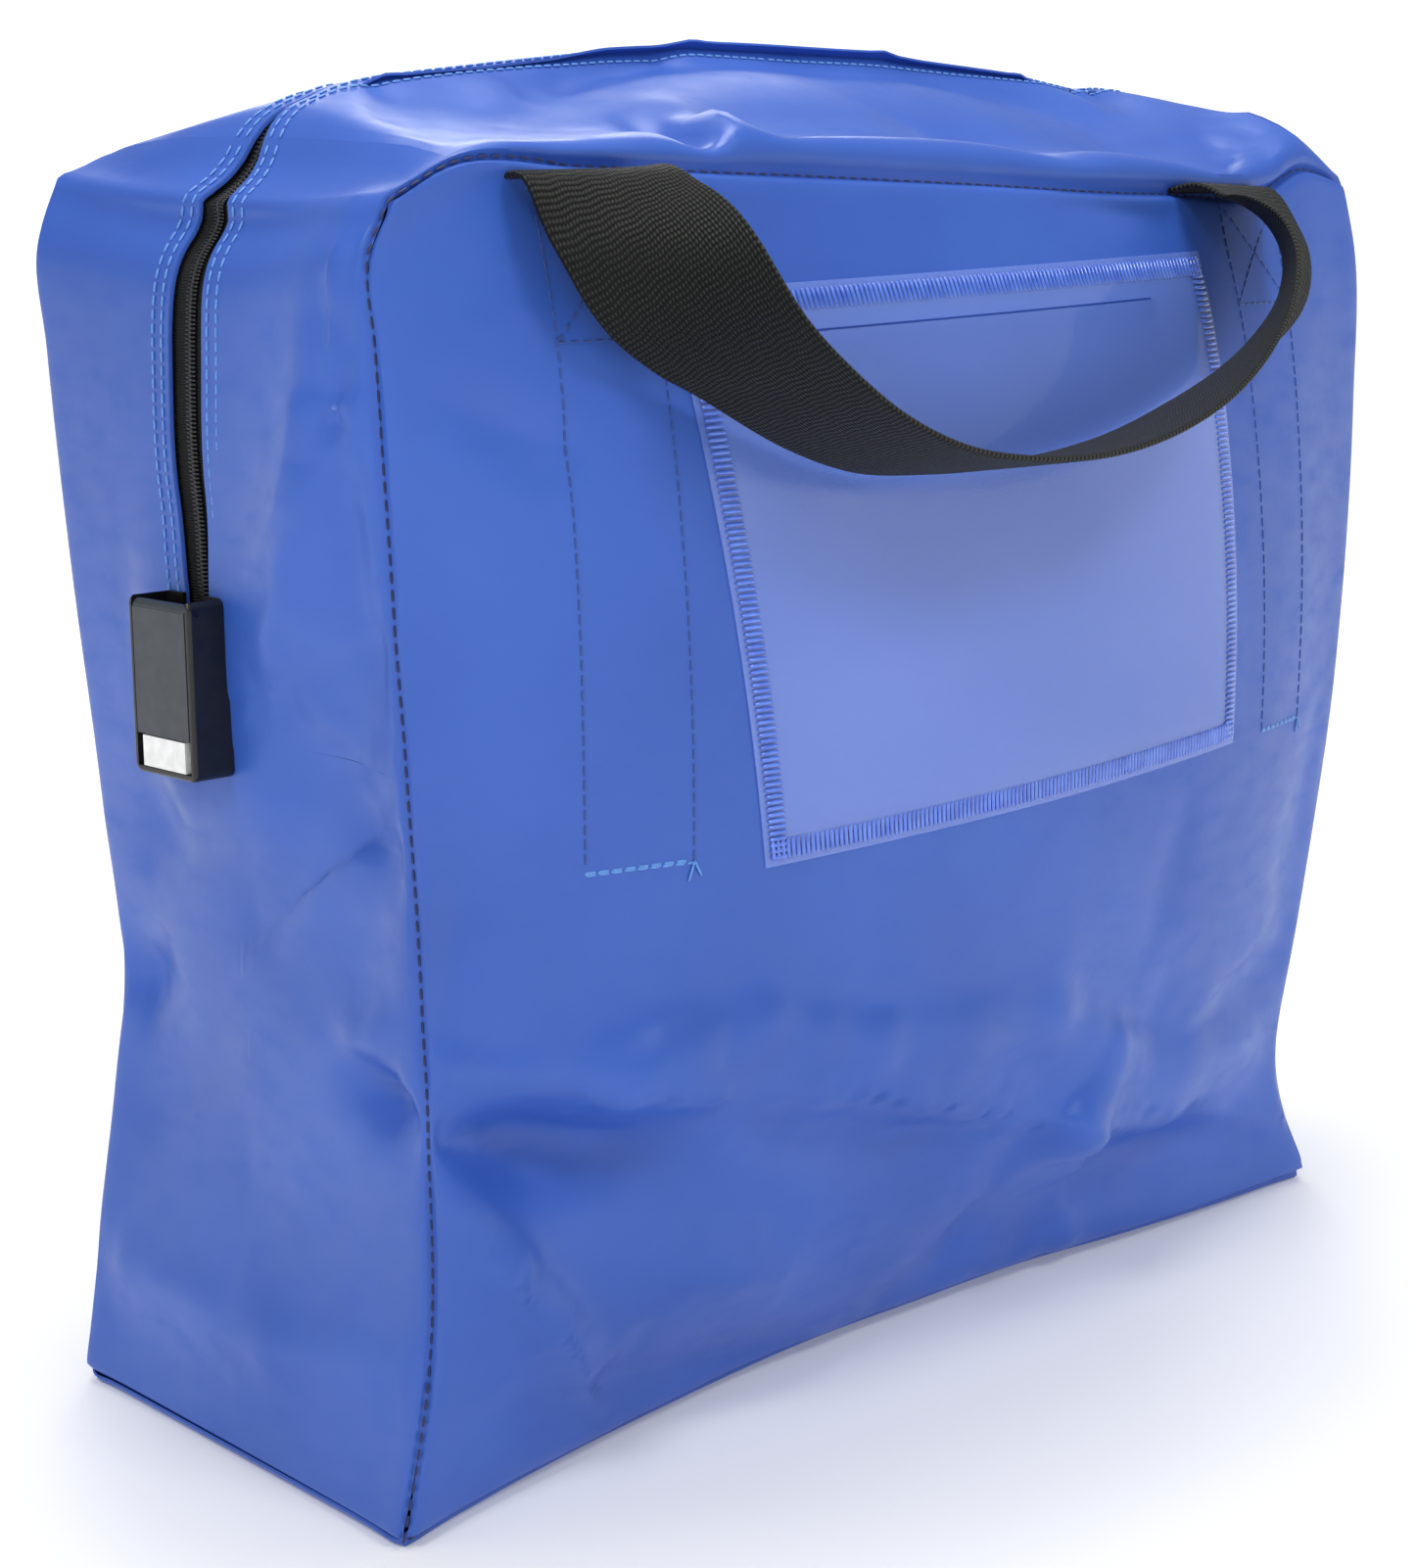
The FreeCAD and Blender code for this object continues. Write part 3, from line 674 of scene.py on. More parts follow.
def coated_fabric():
    s = Surface("coated_fabric", (0.05, 0.13, 0.66), 0.42, {"Specular IOR Level": 0.45})
    blues = (0.3, (0.031, 0.098, 0.44)), (0.5, (0.035, 0.110, 0.485)), (0.72, (0.043, 0.128, 0.54))
    s.drive("Base Color", s.ramp(s.noise(9, 4), *blues))
    scuffs = s.noise(60, 6, (1, 1, 2.4))
    s.drive("Roughness", s.ramp(scuffs, (0.3, 0.34), (0.55, 0.42), (0.75, 0.52)))
    grain = s.bump(s.noise(1100, 2), 0.05, 0.35)
    threads = s.maths("ADD", s.noise(420, 1, (1, 1, 0.25)), s.noise(420, 1, (0.25, 0.25, 1)))
    weave = s.bump(threads, 0.06, 0.3, grain)
    dents = s.bump(s.noise(34, 3), 1.0, 0.22, weave)
    s.drive("Normal", s.bump(s.noise(12, 2), 3.0, 0.2, dents))
    return s.material


def webbing(name, pitch, dark, light):
    """Herringbone weave of yarns that run across the strap, with painted glints on the raised yarns."""
    s = Surface(name, dark, 0.6, {"Specular IOR Level": 0.22, "Sheen Weight": 0.04})
    across, along = s.along()
    zigzag = s.maths("PINGPONG", s.maths("MULTIPLY", across, 10 / (2.6 * pitch)), 1.0)
    line = s.maths("ADD", s.maths("MULTIPLY", along, 10 / pitch), s.maths("MULTIPLY", zigzag, 0.4))
    twill = s.maths("SINE", s.maths("MULTIPLY", line, 2 * math.pi))
    yarn = s.maths("SINE", s.maths("MULTIPLY", across, 10 * 2 * math.pi / (0.65 * pitch)))
    height = s.maths("ADD", s.maths("MULTIPLY", twill, 0.45), s.maths("MULTIPLY", yarn, 0.4))
    fuzz = s.noise(900, 2)
    # Painted highlight: the base colour is lighter where the weave stands high, with random fuzz mixed in.
    painted_glint = s.maths("ADD", height, s.maths("MULTIPLY", fuzz, 0.8))
    s.drive("Base Color", s.ramp(painted_glint, (0.35, dark), (0.8, tuple(0.35 * v for v in light)), (1.0, light)))
    s.drive("Roughness", s.ramp(fuzz, (0.3, 0.5), (0.7, 0.72)))
    s.drive("Normal", s.bump(fuzz, 0.12, 0.4, s.bump(height, 0.45, 0.9)))
    return s.material


def moulded(name, colour, roughness, grain=0.05):
    s = Surface(name, colour, roughness)
    wear = s.noise(260, 4)
    lighter = tuple(min(1.0, v * 1.25 + 0.004) for v in colour)
    s.drive("Base Color", s.ramp(wear, (0.35, colour), (0.8, lighter)))
    s.drive("Roughness", s.ramp(s.noise(90, 4), (0.3, roughness - 0.06), (0.7, roughness + 0.08)))
    s.drive("Normal", s.bump(s.cells(1500), grain, 0.5))
    return s.material


def clear_film():
    glossy = {"Specular IOR Level": 0.9, "Coat Weight": 0.8, "Coat Roughness": 0.04}
    s = Surface("clear_film", (0.24, 0.39, 1.0), 0.1, glossy)
    haze = s.noise(8, 2)
    s.drive("Alpha", s.ramp(haze, (0.3, 0.30), (0.7, 0.40)))
    s.drive("Roughness", s.ramp(s.noise(40, 3), (0.3, 0.06), (0.7, 0.14)))
    s.drive("Normal", s.bump(s.noise(16, 1), 1.2, 0.25))
    return s.material


def welded_film():
    s = Surface("welded_film", (0.07, 0.17, 0.74), 0.16, {"Coat Weight": 0.7, "Coat Roughness": 0.08})
    s.drive("Base Color", s.ramp(s.noise(160, 3), (0.3, (0.055, 0.14, 0.68)), (0.75, (0.13, 0.27, 0.86))))
    s.drive("Normal", s.bump(s.noise(420, 2), 0.12, 0.4))
    return s.material


def thread(name, colour):
    s = Surface(name, colour, 0.5, {"Sheen Weight": 0.2})
    twist = s.noise(2600, 1, (1, 1, 0.6))
    s.drive("Base Color", s.ramp(twist, (0.35, tuple(0.7 * v for v in colour)), (0.7, colour)))
    s.drive("Normal", s.bump(twist, 0.08, 0.5))
    return s.material


def metal(name, shade):
    s = Surface(name, (shade, shade, 1.03 * shade), 0.32, {"Metallic": 1.0})
    s.drive("Roughness", s.ramp(s.noise(300, 4, (1, 1, 6)), (0.3, 0.24), (0.7, 0.42)))
    s.drive("Normal", s.bump(s.noise(900, 2), 0.03, 0.4))
    return s.material


FABRIC = (coated_fabric(), "blue_fabric")
WEBBING = (webbing("strap_webbing", 1.8, (0.0014, 0.0014, 0.0017), (0.026, 0.031, 0.025)), "black_webbing")
ZIP_TAPE = (webbing("zip_tape", 0.9, (0.003, 0.003, 0.004), (0.03, 0.034, 0.034)), "black_zip")
ZIP_COIL = (moulded("zip_coil", (0.012, 0.012, 0.014), 0.36), "black_zip")
BLACK = (moulded("black_housing", (0.006, 0.006, 0.007), 0.34), "black_nylon")
GREY = (moulded("slate_door", (0.030, 0.038, 0.050), 0.40), "grey_nylon")
WHITE = (moulded("white_seal", (0.80, 0.81, 0.80), 0.38, 0.02), "white_nylon")
FILM = (clear_film(), "clear_pvc")
WELD = (welded_film(), "clear_pvc")
LIGHT_THREAD = (thread("light_blue_thread", (0.12, 0.34, 0.85)), "blue_fabric")
# Painted shade: thread darkened to deep blue for the shade of the needle holes on the tail boxes' sides.
NEEDLE_SHADE_THREAD = (thread("thread_painted_needle_shade", (0.018, 0.075, 0.36)), "blue_fabric")
# Painted shade: near-black navy thread that darkens the grooves of the seams.
GROOVE_SHADE_THREAD = (thread("thread_painted_groove_shade", (0.010, 0.018, 0.11)), "blue_fabric")
STEEL = (metal("plated_steel", 0.55), "steel")
DARK_STEEL = (metal("blackened_steel", 0.05), "steel")

# ---- front and back panels

THICK = 0.8
PANEL_ROWS = edged(SEAM_Z, 3.4)
PANEL_COLS = edged(WIDTH, 3.4)
ALL_EDGES = ("low", "high", "left", "right")


def front_creased(points, ways):
    return creases(points[..., 0], points[..., 2], FRONT_CREASES)


def back_creased(points, ways):
    return 0.8 * creases(-0.94 * points[..., 0], 0.96 * points[..., 2] + 6, FRONT_CREASES)


def gusset_creased(points, ways):
    """Creases of the left end, the top and, turned round, the right end."""
    x, y, z = points[..., 0], points[..., 1], points[..., 2]
    left, right, top = (np.clip(side, 0, 1) ** 2 for side in (-ways[..., 0], ways[..., 0], ways[..., 2]))
    return (
        left * creases(y, z, END_CREASES)
        + right * 0.8 * creases(-y, z + 12, END_CREASES)
        + top * creases(x, y, TOP_CREASES)
    )


def panel(name, grid, shared, flip, creased):
    """Makes a front or back panel; returns the search tree of its outer face."""
    fine = sewn(grid, shared, PANEL_ROWS, PANEL_COLS, ALL_EDGES, SEAM_Z, WIDTH, creased)
    points, faces = joined([fine], [flip])
    outer = new_piece(name, points, faces, FABRIC)
    tree = BVHTree.FromPolygons((points * MM).tolist(), [list(map(int, f)) for f in faces])
    thicken(outer, THICK)
    on_bag(outer, name)
    return tree


FRONT_TREE = panel("front_panel", FRONT, SHARED[0], False, front_creased)
BACK_TREE = panel("back_panel", BACK, SHARED[1], True, back_creased)
PANELS = (("front", FRONT_TREE, -1), ("back", BACK_TREE, 1))


def on_panel(tree, side, x, z, lift):
    """Points on a panel at x and z, lifted off it, and the normals there."""
    spots, ways = [], []
    for px, pz in zip(np.ravel(x), np.ravel(z)):
        found, way, _, _ = tree.ray_cast(Vector((px, side * 400, pz)) * MM, Vector((0, -side, 0)))
        way = way if way.y * side > 0 else -way
        spots.append(np.array(found) / MM + lift * np.array(way))
        ways.append(np.array(way))
    return np.array(spots), np.array(ways)


# ---- gusset, lips and zip

HALVES = (("front", False), ("back", True))
ROWS = BAND.shape[0]
BAND_LONG = 2 * SEAM_Z + WIDTH - 30


def row_at_height(z):
    return (z / FRONT_LEFT[-1][2]) * (SIDE_COUNT - 1) / (ROWS - 1)


def row_at_x(x):
    start, end = FRONT_TOP[0][0], FRONT_TOP[-1][0]
    return (SIDE_COUNT - 1 + (x - start) / (end - start) * (TOP_COUNT - 1)) / (ROWS - 1)


LIP_END = cad("front_lip", 1, "x")
SLOT_ROW = row_at_height(LOCK_LOW + 8)
LIP_ROW = row_at_x(-LIP_END)
MIDDLE_ROW = row_at_x(0)
FAR_ROW = row_at_x(LIP_END)
# Half width of the zip's opening, and how far the zip lies off the middle, along the gusset.
SLOT = [(SLOT_ROW, 0), (SLOT_ROW + 0.012, 5.5), (row_at_height(272), 6.4), (row_at_height(300), 8.6),
        (row_at_height(345), 9.0), (row_at_height(385), 8.0), (row_at_x(-225), 6.8), (row_at_x(-214), 5.0),
        (row_at_x(-202), 2.4), (row_at_x(-192), 0.5), (row_at_x(-150), 0.45),
        (row_at_x(-125), 1.7), (row_at_x(-98), 1.5), (row_at_x(-75), 0.4), (row_at_x(0), 0.35),
        (FAR_ROW, 0.35)]
OFF = [(SLOT_ROW, 0), (row_at_height(272), -0.5), (row_at_height(305), 2.0), (row_at_height(345), 2.2),
       (row_at_height(390), 1.0), (row_at_x(-150), 0), (FAR_ROW, 0)]


def slot_half(rows):
    return np.interp(rows, *zip(*SLOT))


def zip_share(rows):
    return 0.5 + (ZIP_Y + np.interp(rows, *zip(*OFF))) / DEPTH


HEM_STEPS = np.array([8.6, 6.2, 4.2, 2.6, 1.4, 0.6, 0.0])
# The hem's turned edge: how far it goes in, and how far back under the gusset.
HEM_TURN = ((0.5, -0.25), (1.3, -0.3), (1.9, 0.4), (2.1, 3.0), (2.2, 7.0))


def half_cols(rows, back):
    """Column shares of one half of the gusset, from its seam to the zip's opening."""
    edge = zip_share(rows) * DEPTH + (slot_half(rows) if back else -slot_half(rows))
    run = (DEPTH - edge) if back else edge
    start = np.tile(EDGE_STEPS, (len(rows), 1))
    share = np.linspace(0, 1, 20)[None, 1:-1]
    middle = EDGE_STEPS[-1] + share * (run - HEM_STEPS[0] - EDGE_STEPS[-1])[:, None]
    end = run[:, None] - HEM_STEPS[None, :]
    cols = np.concatenate([start, middle, end], 1) / DEPTH
    return 1 - cols[:, ::-1] if back else cols


def row_list(start, end, step=3.6, close_start=False, close_end=False):
    """Row shares between two places of the gusset, closer at an end that is sewn."""
    return start + (end - start) * edged((end - start) * BAND_LONG, step, close_start, close_end)


def gusset_part(rows, cols, edges):
    return sewn(BAND, SHARED[2], rows, cols, edges, BAND_LONG, DEPTH, gusset_creased)


def gusset_half(rows, back):
    """One half of the gusset, ending in a rolled hem at the zip."""
    fine = gusset_part(rows, half_cols(rows, back), ["right" if back else "left"])
    own = normals(fine)
    if back:
        fine, own = fine[:, ::-1], own[:, ::-1]
    inward = unit(fine[:, -2] - fine[:, -1])
    fold = np.minimum(1, slot_half(rows) / 0.35)[:, None]
    hems = [fine[:, -1] - fold * (own[:, -1] * deep - inward * under) for deep, under in HEM_TURN]
    return np.concatenate([fine, np.stack(hems, 1)], 1)


def fabric_piece(name, grids, flips, weld=0.0):
    points, faces = joined(grids, flips)
    piece = new_piece(name, points, faces, FABRIC, weld=weld)
    thicken(piece, THICK)
    return piece


end_rows = row_list(0, SLOT_ROW, close_start=True)
end_cols = np.concatenate([half_cols(end_rows, False), half_cols(end_rows, True)[:, 1:]], 1)
zip_rows = row_list(SLOT_ROW, LIP_ROW, 3.0)
left_grids = [
    gusset_part(end_rows, end_cols, ("low", "left", "right")),
    gusset_half(zip_rows, False), gusset_half(zip_rows, True),
]
right_grid = gusset_part(row_list(FAR_ROW, 1, close_end=True), edged(DEPTH), ("high", "left", "right"))
under = sewn(UNDER, SHARED[3], edged(DEPTH), edged(WIDTH), ALL_EDGES, DEPTH, WIDTH)
under[..., 2] = np.maximum(under[..., 2], FLOOR_GAP / 2)
gusset_left = fabric_piece("gusset_left", left_grids, [True, True, False], 0.02)
gusset_right = fabric_piece("gusset_right", [right_grid], [True])
gusset_base = fabric_piece("gusset_base", [under], [True])
for piece, long in ((gusset_left, 0.445), (gusset_right, 0.445), (gusset_base, WIDTH * MM)):
    on_bag(piece, "gusset_band")

LIP_ROWS = {"left": row_list(LIP_ROW, MIDDLE_ROW), "right": row_list(MIDDLE_ROW, FAR_ROW)}


def bend_with(piece, node=None):
    """Bakes the transform of a piece that goes with the front or back lip into its mesh, in place of a CAD
    node if one is given.
    """
    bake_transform(piece)
    if node:
        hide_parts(node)


for word, back in HALVES:
    lip = word + "_lip"
    for side, rows in LIP_ROWS.items():
        piece = fabric_piece(f"{lip}_{side}", [gusset_half(rows, back)], [not back])
        bend_with(piece, lip)


def band_points(rows, across, lift):
    """Points on the gusset at row shares and millimetres across it, lifted along its normals."""
    cols = np.asarray(across)[:, None] / DEPTH
    ways = unit(resample(OUTWARD[2], rows, cols)[:, 0])
    return resample(BAND, rows, cols)[:, 0] + lift * ways, ways


def flat_uvs(across, along):
    """UVs of a grid whose rows lie along and columns across, in tens of millimetres."""
    return np.stack([np.tile(across, len(along)), np.repeat(along, len(across))], 1) / 10


COIL_PITCH = 1.25


def zip_tape(name, rows, back):
    """Half of the zip's tape, under the hem of one side."""
    sign = 1 if back else -1
    centre = zip_share(rows) * DEPTH
    steps = np.array([0.4, 3.0, 6.0, 9.0, 12.0, 15.0])
    grid = np.stack([band_points(rows, centre + sign * step, -3.0)[0] for step in steps], 1)
    points, faces = joined([grid], [back])
    piece = new_piece(name, points, faces, ZIP_TAPE, flat_uvs(steps, lengths(grid[:, 0])))
    thicken(piece, 0.6)
    return piece


def zip_coil(name, start, end, back):
    """One side of the zip's coil, as loops that reach past the middle."""
    sign = 1 if back else -1
    count = int((end - start) * BAND_LONG / COIL_PITCH)
    rows = np.linspace(start, end, count + 1)[:-1] + (0.5 * (end - start) / count if back else 0)
    centre = zip_share(rows) * DEPTH
    near, ways = band_points(rows, centre - sign * 0.7, -1.9)
    far, _ = band_points(rows, centre + sign * 2.7, -2.1)
    return rods(name, np.stack([near, far], 1), 0.5, ZIP_COIL, 1.3, ways)


for word, back in HALVES:
    tape, coil = f"zip_tape_{word}", f"zip_coil_{word}"
    on_bag(zip_tape(f"end_{tape}", zip_rows, back), f"end_{tape}")
    on_bag(zip_coil(f"end_{coil}", SLOT_ROW, LIP_ROW, back), f"end_{coil}")
    for side, rows in LIP_ROWS.items():
        bend_with(zip_tape(f"lip_{tape}_{side}", rows, back), f"lip_{tape}")
        bend_with(zip_coil(f"lip_{coil}_{side}", rows[0], rows[-1], back), f"lip_{coil}")

# ---- stitching


def hem_stitches(name, start, end, back):
    """Two rows of topstitching beside the zip."""
    sign = 1 if back else -1
    rows = np.linspace(start, end, int((end - start) * BAND_LONG / 3) + 2)
    middle = zip_share(rows) * DEPTH
    pairs, ways = [], []
    for away in (3.2, 8.0):
        line, up = band_points(rows, middle + sign * (slot_half(rows) + away), 0.3)
        found = dashes(line, 3.0, 1.1)
        pairs.append(found)
        ways.append(spread(up, len(found)))
    return rods(name, np.concatenate(pairs), 0.45, LIGHT_THREAD, 0.8, np.concatenate(ways))


for word, back in HALVES:
    on_bag(hem_stitches(f"end_stitching_{word}", SLOT_ROW + 0.02, LIP_ROW, back))
    for side, rows in LIP_ROWS.items():
        bend_with(hem_stitches(f"lip_stitching_{word}_{side}", rows[0], rows[-1], back))


def panel_line(tree, side, line, lift=0.1):
    """A polyline of x and z laid on a panel."""
    line = np.asarray(line, float)
    far = np.concatenate([[0], np.cumsum(np.hypot(*np.diff(line, axis=0).T))])
    at = np.linspace(0, far[-1], max(int(far[-1] / 3), 2))
    x, z = np.interp(at, far, line[:, 0]), np.interp(at, far, line[:, 1])
    return on_panel(tree, side, x, z, lift)


BOX_HALF, BOX_LOW, BOX_HIGH, BOX_BAR = 18, 196, 386, 350


def tail_stitches(name, tree, side, centre):
    """The box of stitching that holds a handle's hidden end, with its cross at the top."""
    left, right = centre - BOX_HALF, centre + BOX_HALF
    low, high, bar = BOX_LOW, BOX_HIGH, BOX_BAR
    lines = [
        [(left, high), (left, low)],
        [(right, low), (right, high)],
        [(left, bar), (right, bar)],
        [(left, bar), (right, high)],
        [(right, bar), (left, high)],
        [(left, low), (right, low)],
        [(right + 1, low - 0.7), (left - 1, low + 0.5)],
        [(left, low + 0.8), (right - 1, low + 0.4)],
    ]
    thread_x, thread_z = [right, right + 2.5, right, right - 2], [low, low - 5, low, low - 6]
    loose, up = on_panel(tree, side, thread_x, thread_z, 0.5)
    # The sides' stitches carry painted needle-hole shade; the foot keeps the light-blue thread colour.
    for part, chosen, colour in (("sides", lines[:5], NEEDLE_SHADE_THREAD), ("foot", lines[5:], LIGHT_THREAD)):
        pairs, ways = ([], []) if part == "sides" else ([loose.reshape(2, 2, 3)], [up[::2]])
        for line in chosen:
            spots, facing = panel_line(tree, side, line)
            found = dashes(spots, 3.3, 1.1)
            pairs.append(found)
            ways.append(spread(facing, len(found)))
        on_bag(rods(f"{name}_{part}", np.concatenate(pairs), 0.42, colour, 0.8, np.concatenate(ways)))


TAIL_X = (cad("front_tail_left", 0, "x") + cad("front_tail_left", 1, "x")) / 2
for word, tree, side in PANELS:
    tail_stitches(f"{word}_tail_stitching_left", tree, side, TAIL_X)
    tail_stitches(f"{word}_tail_stitching_right", tree, side, -TAIL_X)


def seam_stitches(name, grid, shared):
    """Thread that shows in the groove round a panel, near-black navy as painted shade of the groove."""
    ring = np.concatenate([grid[:, 0], grid[-1, 1:], grid[::-1, -1][1:], grid[0, ::-1][1:]])
    up = np.concatenate([shared[:, 0], shared[-1, 1:], shared[::-1, -1][1:], shared[0, ::-1][1:]])
    # The groove is shallower at the front's two left corners, so the dark stitches sit higher there as
    # painted shade.
    at_top = (ring[:, 0] < -170) & (ring[:, 2] > 372)
    at_foot = (ring[:, 0] < -228) & (ring[:, 2] < 52)
    by_corner = (at_top | at_foot) & (ring[:, 1] < 0)
    line = ring - np.where(by_corner, 1.2, 2.5)[:, None] * up
    found = dashes(line, 3.4, 1.6)
    ways = up[np.clip((np.arange(len(found)) / len(found) * len(up)).astype(int), 0, len(up) - 1)]
    on_bag(rods(name, found, 0.42, GROOVE_SHADE_THREAD, 0.9, ways))


seam_stitches("front_seam_stitching", FRONT, SHARED[0])
seam_stitches("back_seam_stitching", BACK, SHARED[1])

# ---- window

LOW_LEFT, LOW_RIGHT = np.array([-116.0, 192.0]), np.array([117.0, 198.0])
HIGH_LEFT, HIGH_RIGHT = np.array([-137.0, 361.0]), np.array([121.0, 367.0])
WINDOW_WIDE, WINDOW_HIGH, MARGIN = 242.0, 170.0, 2
SLIT_UP, SLIT_FROM, SLIT_TO, SLIT_HALF = 0.925, 0.2, 0.86, 0.45
RIB_LONG = 6.5


def window_place(over, up):
    """x and z at shares of the window's width and height."""
    over, up = np.asarray(over)[..., None], np.asarray(up)[..., None]
    low = (1 - over) * LOW_LEFT + over * LOW_RIGHT
    high = (1 - over) * HIGH_LEFT + over * HIGH_RIGHT
    flat = (1 - up) * low + up * high
    return flat[..., 0], flat[..., 1]


def window_sheet():
    """The clear sheet, with the slit that takes a label near its top."""
    side, rise, slit = MARGIN / WINDOW_WIDE, MARGIN / WINDOW_HIGH, SLIT_HALF / WINDOW_HIGH
    across = np.unique([*np.linspace(-side, 1 + side, 45), SLIT_FROM, SLIT_TO])
    slit_low, slit_high = SLIT_UP - slit, SLIT_UP + slit
    upward = np.sort([*np.linspace(-rise, 0.9, 30), *np.linspace(0.95, 1 + rise, 5), slit_low, slit_high])
    over, up = np.meshgrid(across, upward)
    from_rim = np.minimum.reduce([over, 1 - over, up, 1 - up])
    near_slit = np.exp(-(((up - SLIT_UP) / 0.03) ** 2)) * (over > SLIT_FROM) * (over < SLIT_TO)
    lift = 1.5 - 0.9 * np.clip(1 - from_rim / 0.05, 0, 1) + 1.1 * near_slit * np.where(up < SLIT_UP, 1.0, 0.2)
    spots, ways = on_panel(FRONT_TREE, -1, *window_place(over, up), 0)
    faces = grid_faces(len(upward), len(across)).reshape(len(upward) - 1, len(across) - 1, 4)
    rows_in = (slit_low <= upward[:-1]) & (upward[:-1] < slit_high)
    cols_in = (SLIT_FROM <= across[:-1]) & (across[:-1] < SLIT_TO)
    faces = faces[~(rows_in[:, None] & cols_in[None, :])]
    piece = new_piece("window_sheet", spots + lift.reshape(-1, 1) * ways, faces, FILM)
    thicken(piece, 0.35)
    on_bag(piece, "window_sheet")


def weld_ribs():
    """The welded frame: a ladder of small ridges across its width."""
    ribs, ways = [], []
    for side, count in (("low", 124), ("high", 124), ("left", 88), ("right", 88)):
        edge, inner = (1.0, -1) if side in ("high", "right") else (0.0, 1)
        for part in (np.arange(count) + 0.5) / count:
            if side in ("low", "high"):
                pair = window_place([part, part], [edge, edge + inner * RIB_LONG / WINDOW_HIGH])
            else:
                pair = window_place([edge, edge + inner * RIB_LONG / WINDOW_WIDE], [part, part])
            ends, up = on_panel(FRONT_TREE, -1, *pair, 1.25)
            ribs.append(ends)
            ways.append(up[0])
    on_bag(rods("window_weld_rib", ribs, 0.66, WELD, 0.85, ways), "window_weld_rib")


window_sheet()
weld_ribs()

# ---- handles

# Centre line of the front strap and the way its width points, from its left root to its right.
FRONT_STRAP = [
    ((-164, -86, 396), (1.0, -0.03, 0.0)), ((-165, -98, 397), (0.98, -0.2, 0.02)),
    ((-164, -113, 384), (0.88, -0.46, 0.08)), ((-158, -125, 368), (0.68, -0.72, 0.12)),
    ((-146, -133, 351), (0.42, -0.90, 0.15)), ((-128, -138, 336), (0.20, -0.96, 0.18)),
    ((-108, -142, 323), (0.06, -0.98, 0.20)), ((-86, -145, 314), (-0.01, -0.98, 0.19)),
    ((-50, -148, 309), (-0.03, -0.99, 0.14)), ((-14, -149, 309), (0.0, -0.99, 0.14)),
    ((33, -148, 316), (0.0, -0.97, 0.25)), ((79, -142, 331), (-0.17, -0.90, 0.41)),
    ((100, -139, 341), (-0.37, -0.79, 0.49)), ((120, -135, 354), (-0.63, -0.57, 0.53)),
    ((135, -126, 368), (-0.84, -0.31, 0.45)), ((143, -112, 381), (-0.96, -0.13, 0.22)),
    ((143, -98, 391), (-1.0, -0.03, 0.05)), ((142, -86, 390), (-1.0, 0.0, 0.0)),
]
STRAP_HALF, STRAP_DEEP, STRAP_ROWS = 25.0, 1.1, 150


def ribbon(name, stations):
    """A flat strap with rounded edges along its stations, which bends where it leaves the seam."""
    centre, ways = (np.array(part, float) for part in zip(*stations))
    knots = lengths(centre)
    at = np.linspace(0, knots[-1], STRAP_ROWS)
    line, width = hermite(knots, centre, at), hermite(knots, ways, at)
    along = unit(np.gradient(line, axis=0))
    width = unit(width - along * np.sum(width * along, axis=1, keepdims=True))
    face = np.cross(along, width)
    # Places across the strap and how thick it is there, thinner towards its rounded edges.
    half = STRAP_HALF
    edge = np.array([half - 1.1, half - 0.35, half])
    top = np.concatenate([-edge[::-1], np.linspace(-half + 3, half - 3, 22), edge])
    crown = np.interp(np.abs(top), [0, *edge], STRAP_DEEP * np.array([1, 0.92, 0.7, 0.3]))
    across, deep = np.concatenate([top, top[::-1]]), np.concatenate([crown, -crown[::-1]])
    points = line[:, None] + width[:, None] * across[None, :, None] + face[:, None] * deep[None, :, None]
    faces = tube(STRAP_ROWS, len(across))
    uvs = flat_uvs(across, lengths(line))
    piece = new_piece(name, points.reshape(-1, 3), faces, WEBBING, uvs, sharp=55)
    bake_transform(piece)
    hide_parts(name)


BACK_STRAP = [((-x, -y, z), (-wx, -wy, wz)) for (x, y, z), (wx, wy, wz) in FRONT_STRAP]
ribbon("front_handle", FRONT_STRAP)
ribbon("back_handle", BACK_STRAP)


def inner_tail(name, tree, side, centre):
    """The end of a handle, sewn flat inside a panel."""
    across = np.linspace(1 - BOX_HALF, BOX_HALF - 1, 12)
    heights = np.linspace(BOX_LOW + 6, BOX_HIGH - 6, 50)
    x, z = np.meshgrid(centre + across, heights)
    spots, _ = on_panel(tree, side, x, z, -(THICK + 0.7))
    faces = grid_faces(len(heights), len(across), 0, side > 0)
    piece = new_piece(name, spots, faces, WEBBING, flat_uvs(across, heights))
    thicken(piece, 1.8)
    on_bag(piece, name)


for word, tree, side in PANELS:
    inner_tail(f"{word}_tail_left", tree, side, TAIL_X)
    inner_tail(f"{word}_tail_right", tree, side, -TAIL_X)

# ---- lock and small hardware

CAD_FINISH = {
    "lock_housing": BLACK, "lock_back_plate": BLACK, "lock_door": GREY, "seal_insert": WHITE,
    "door_pin": DARK_STEEL, "lock_rivets": STEEL, "zip_slider": STEEL, "slider_key": STEEL,
    "zip_bottom_stop": BLACK, "zip_end_stop": BLACK,
}
for node, (material, slot) in CAD_FINISH.items():
    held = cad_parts[node]
    for place in held.material_slots:
        place.link = "OBJECT"
        place.material = material

# ---- floor, light and camera


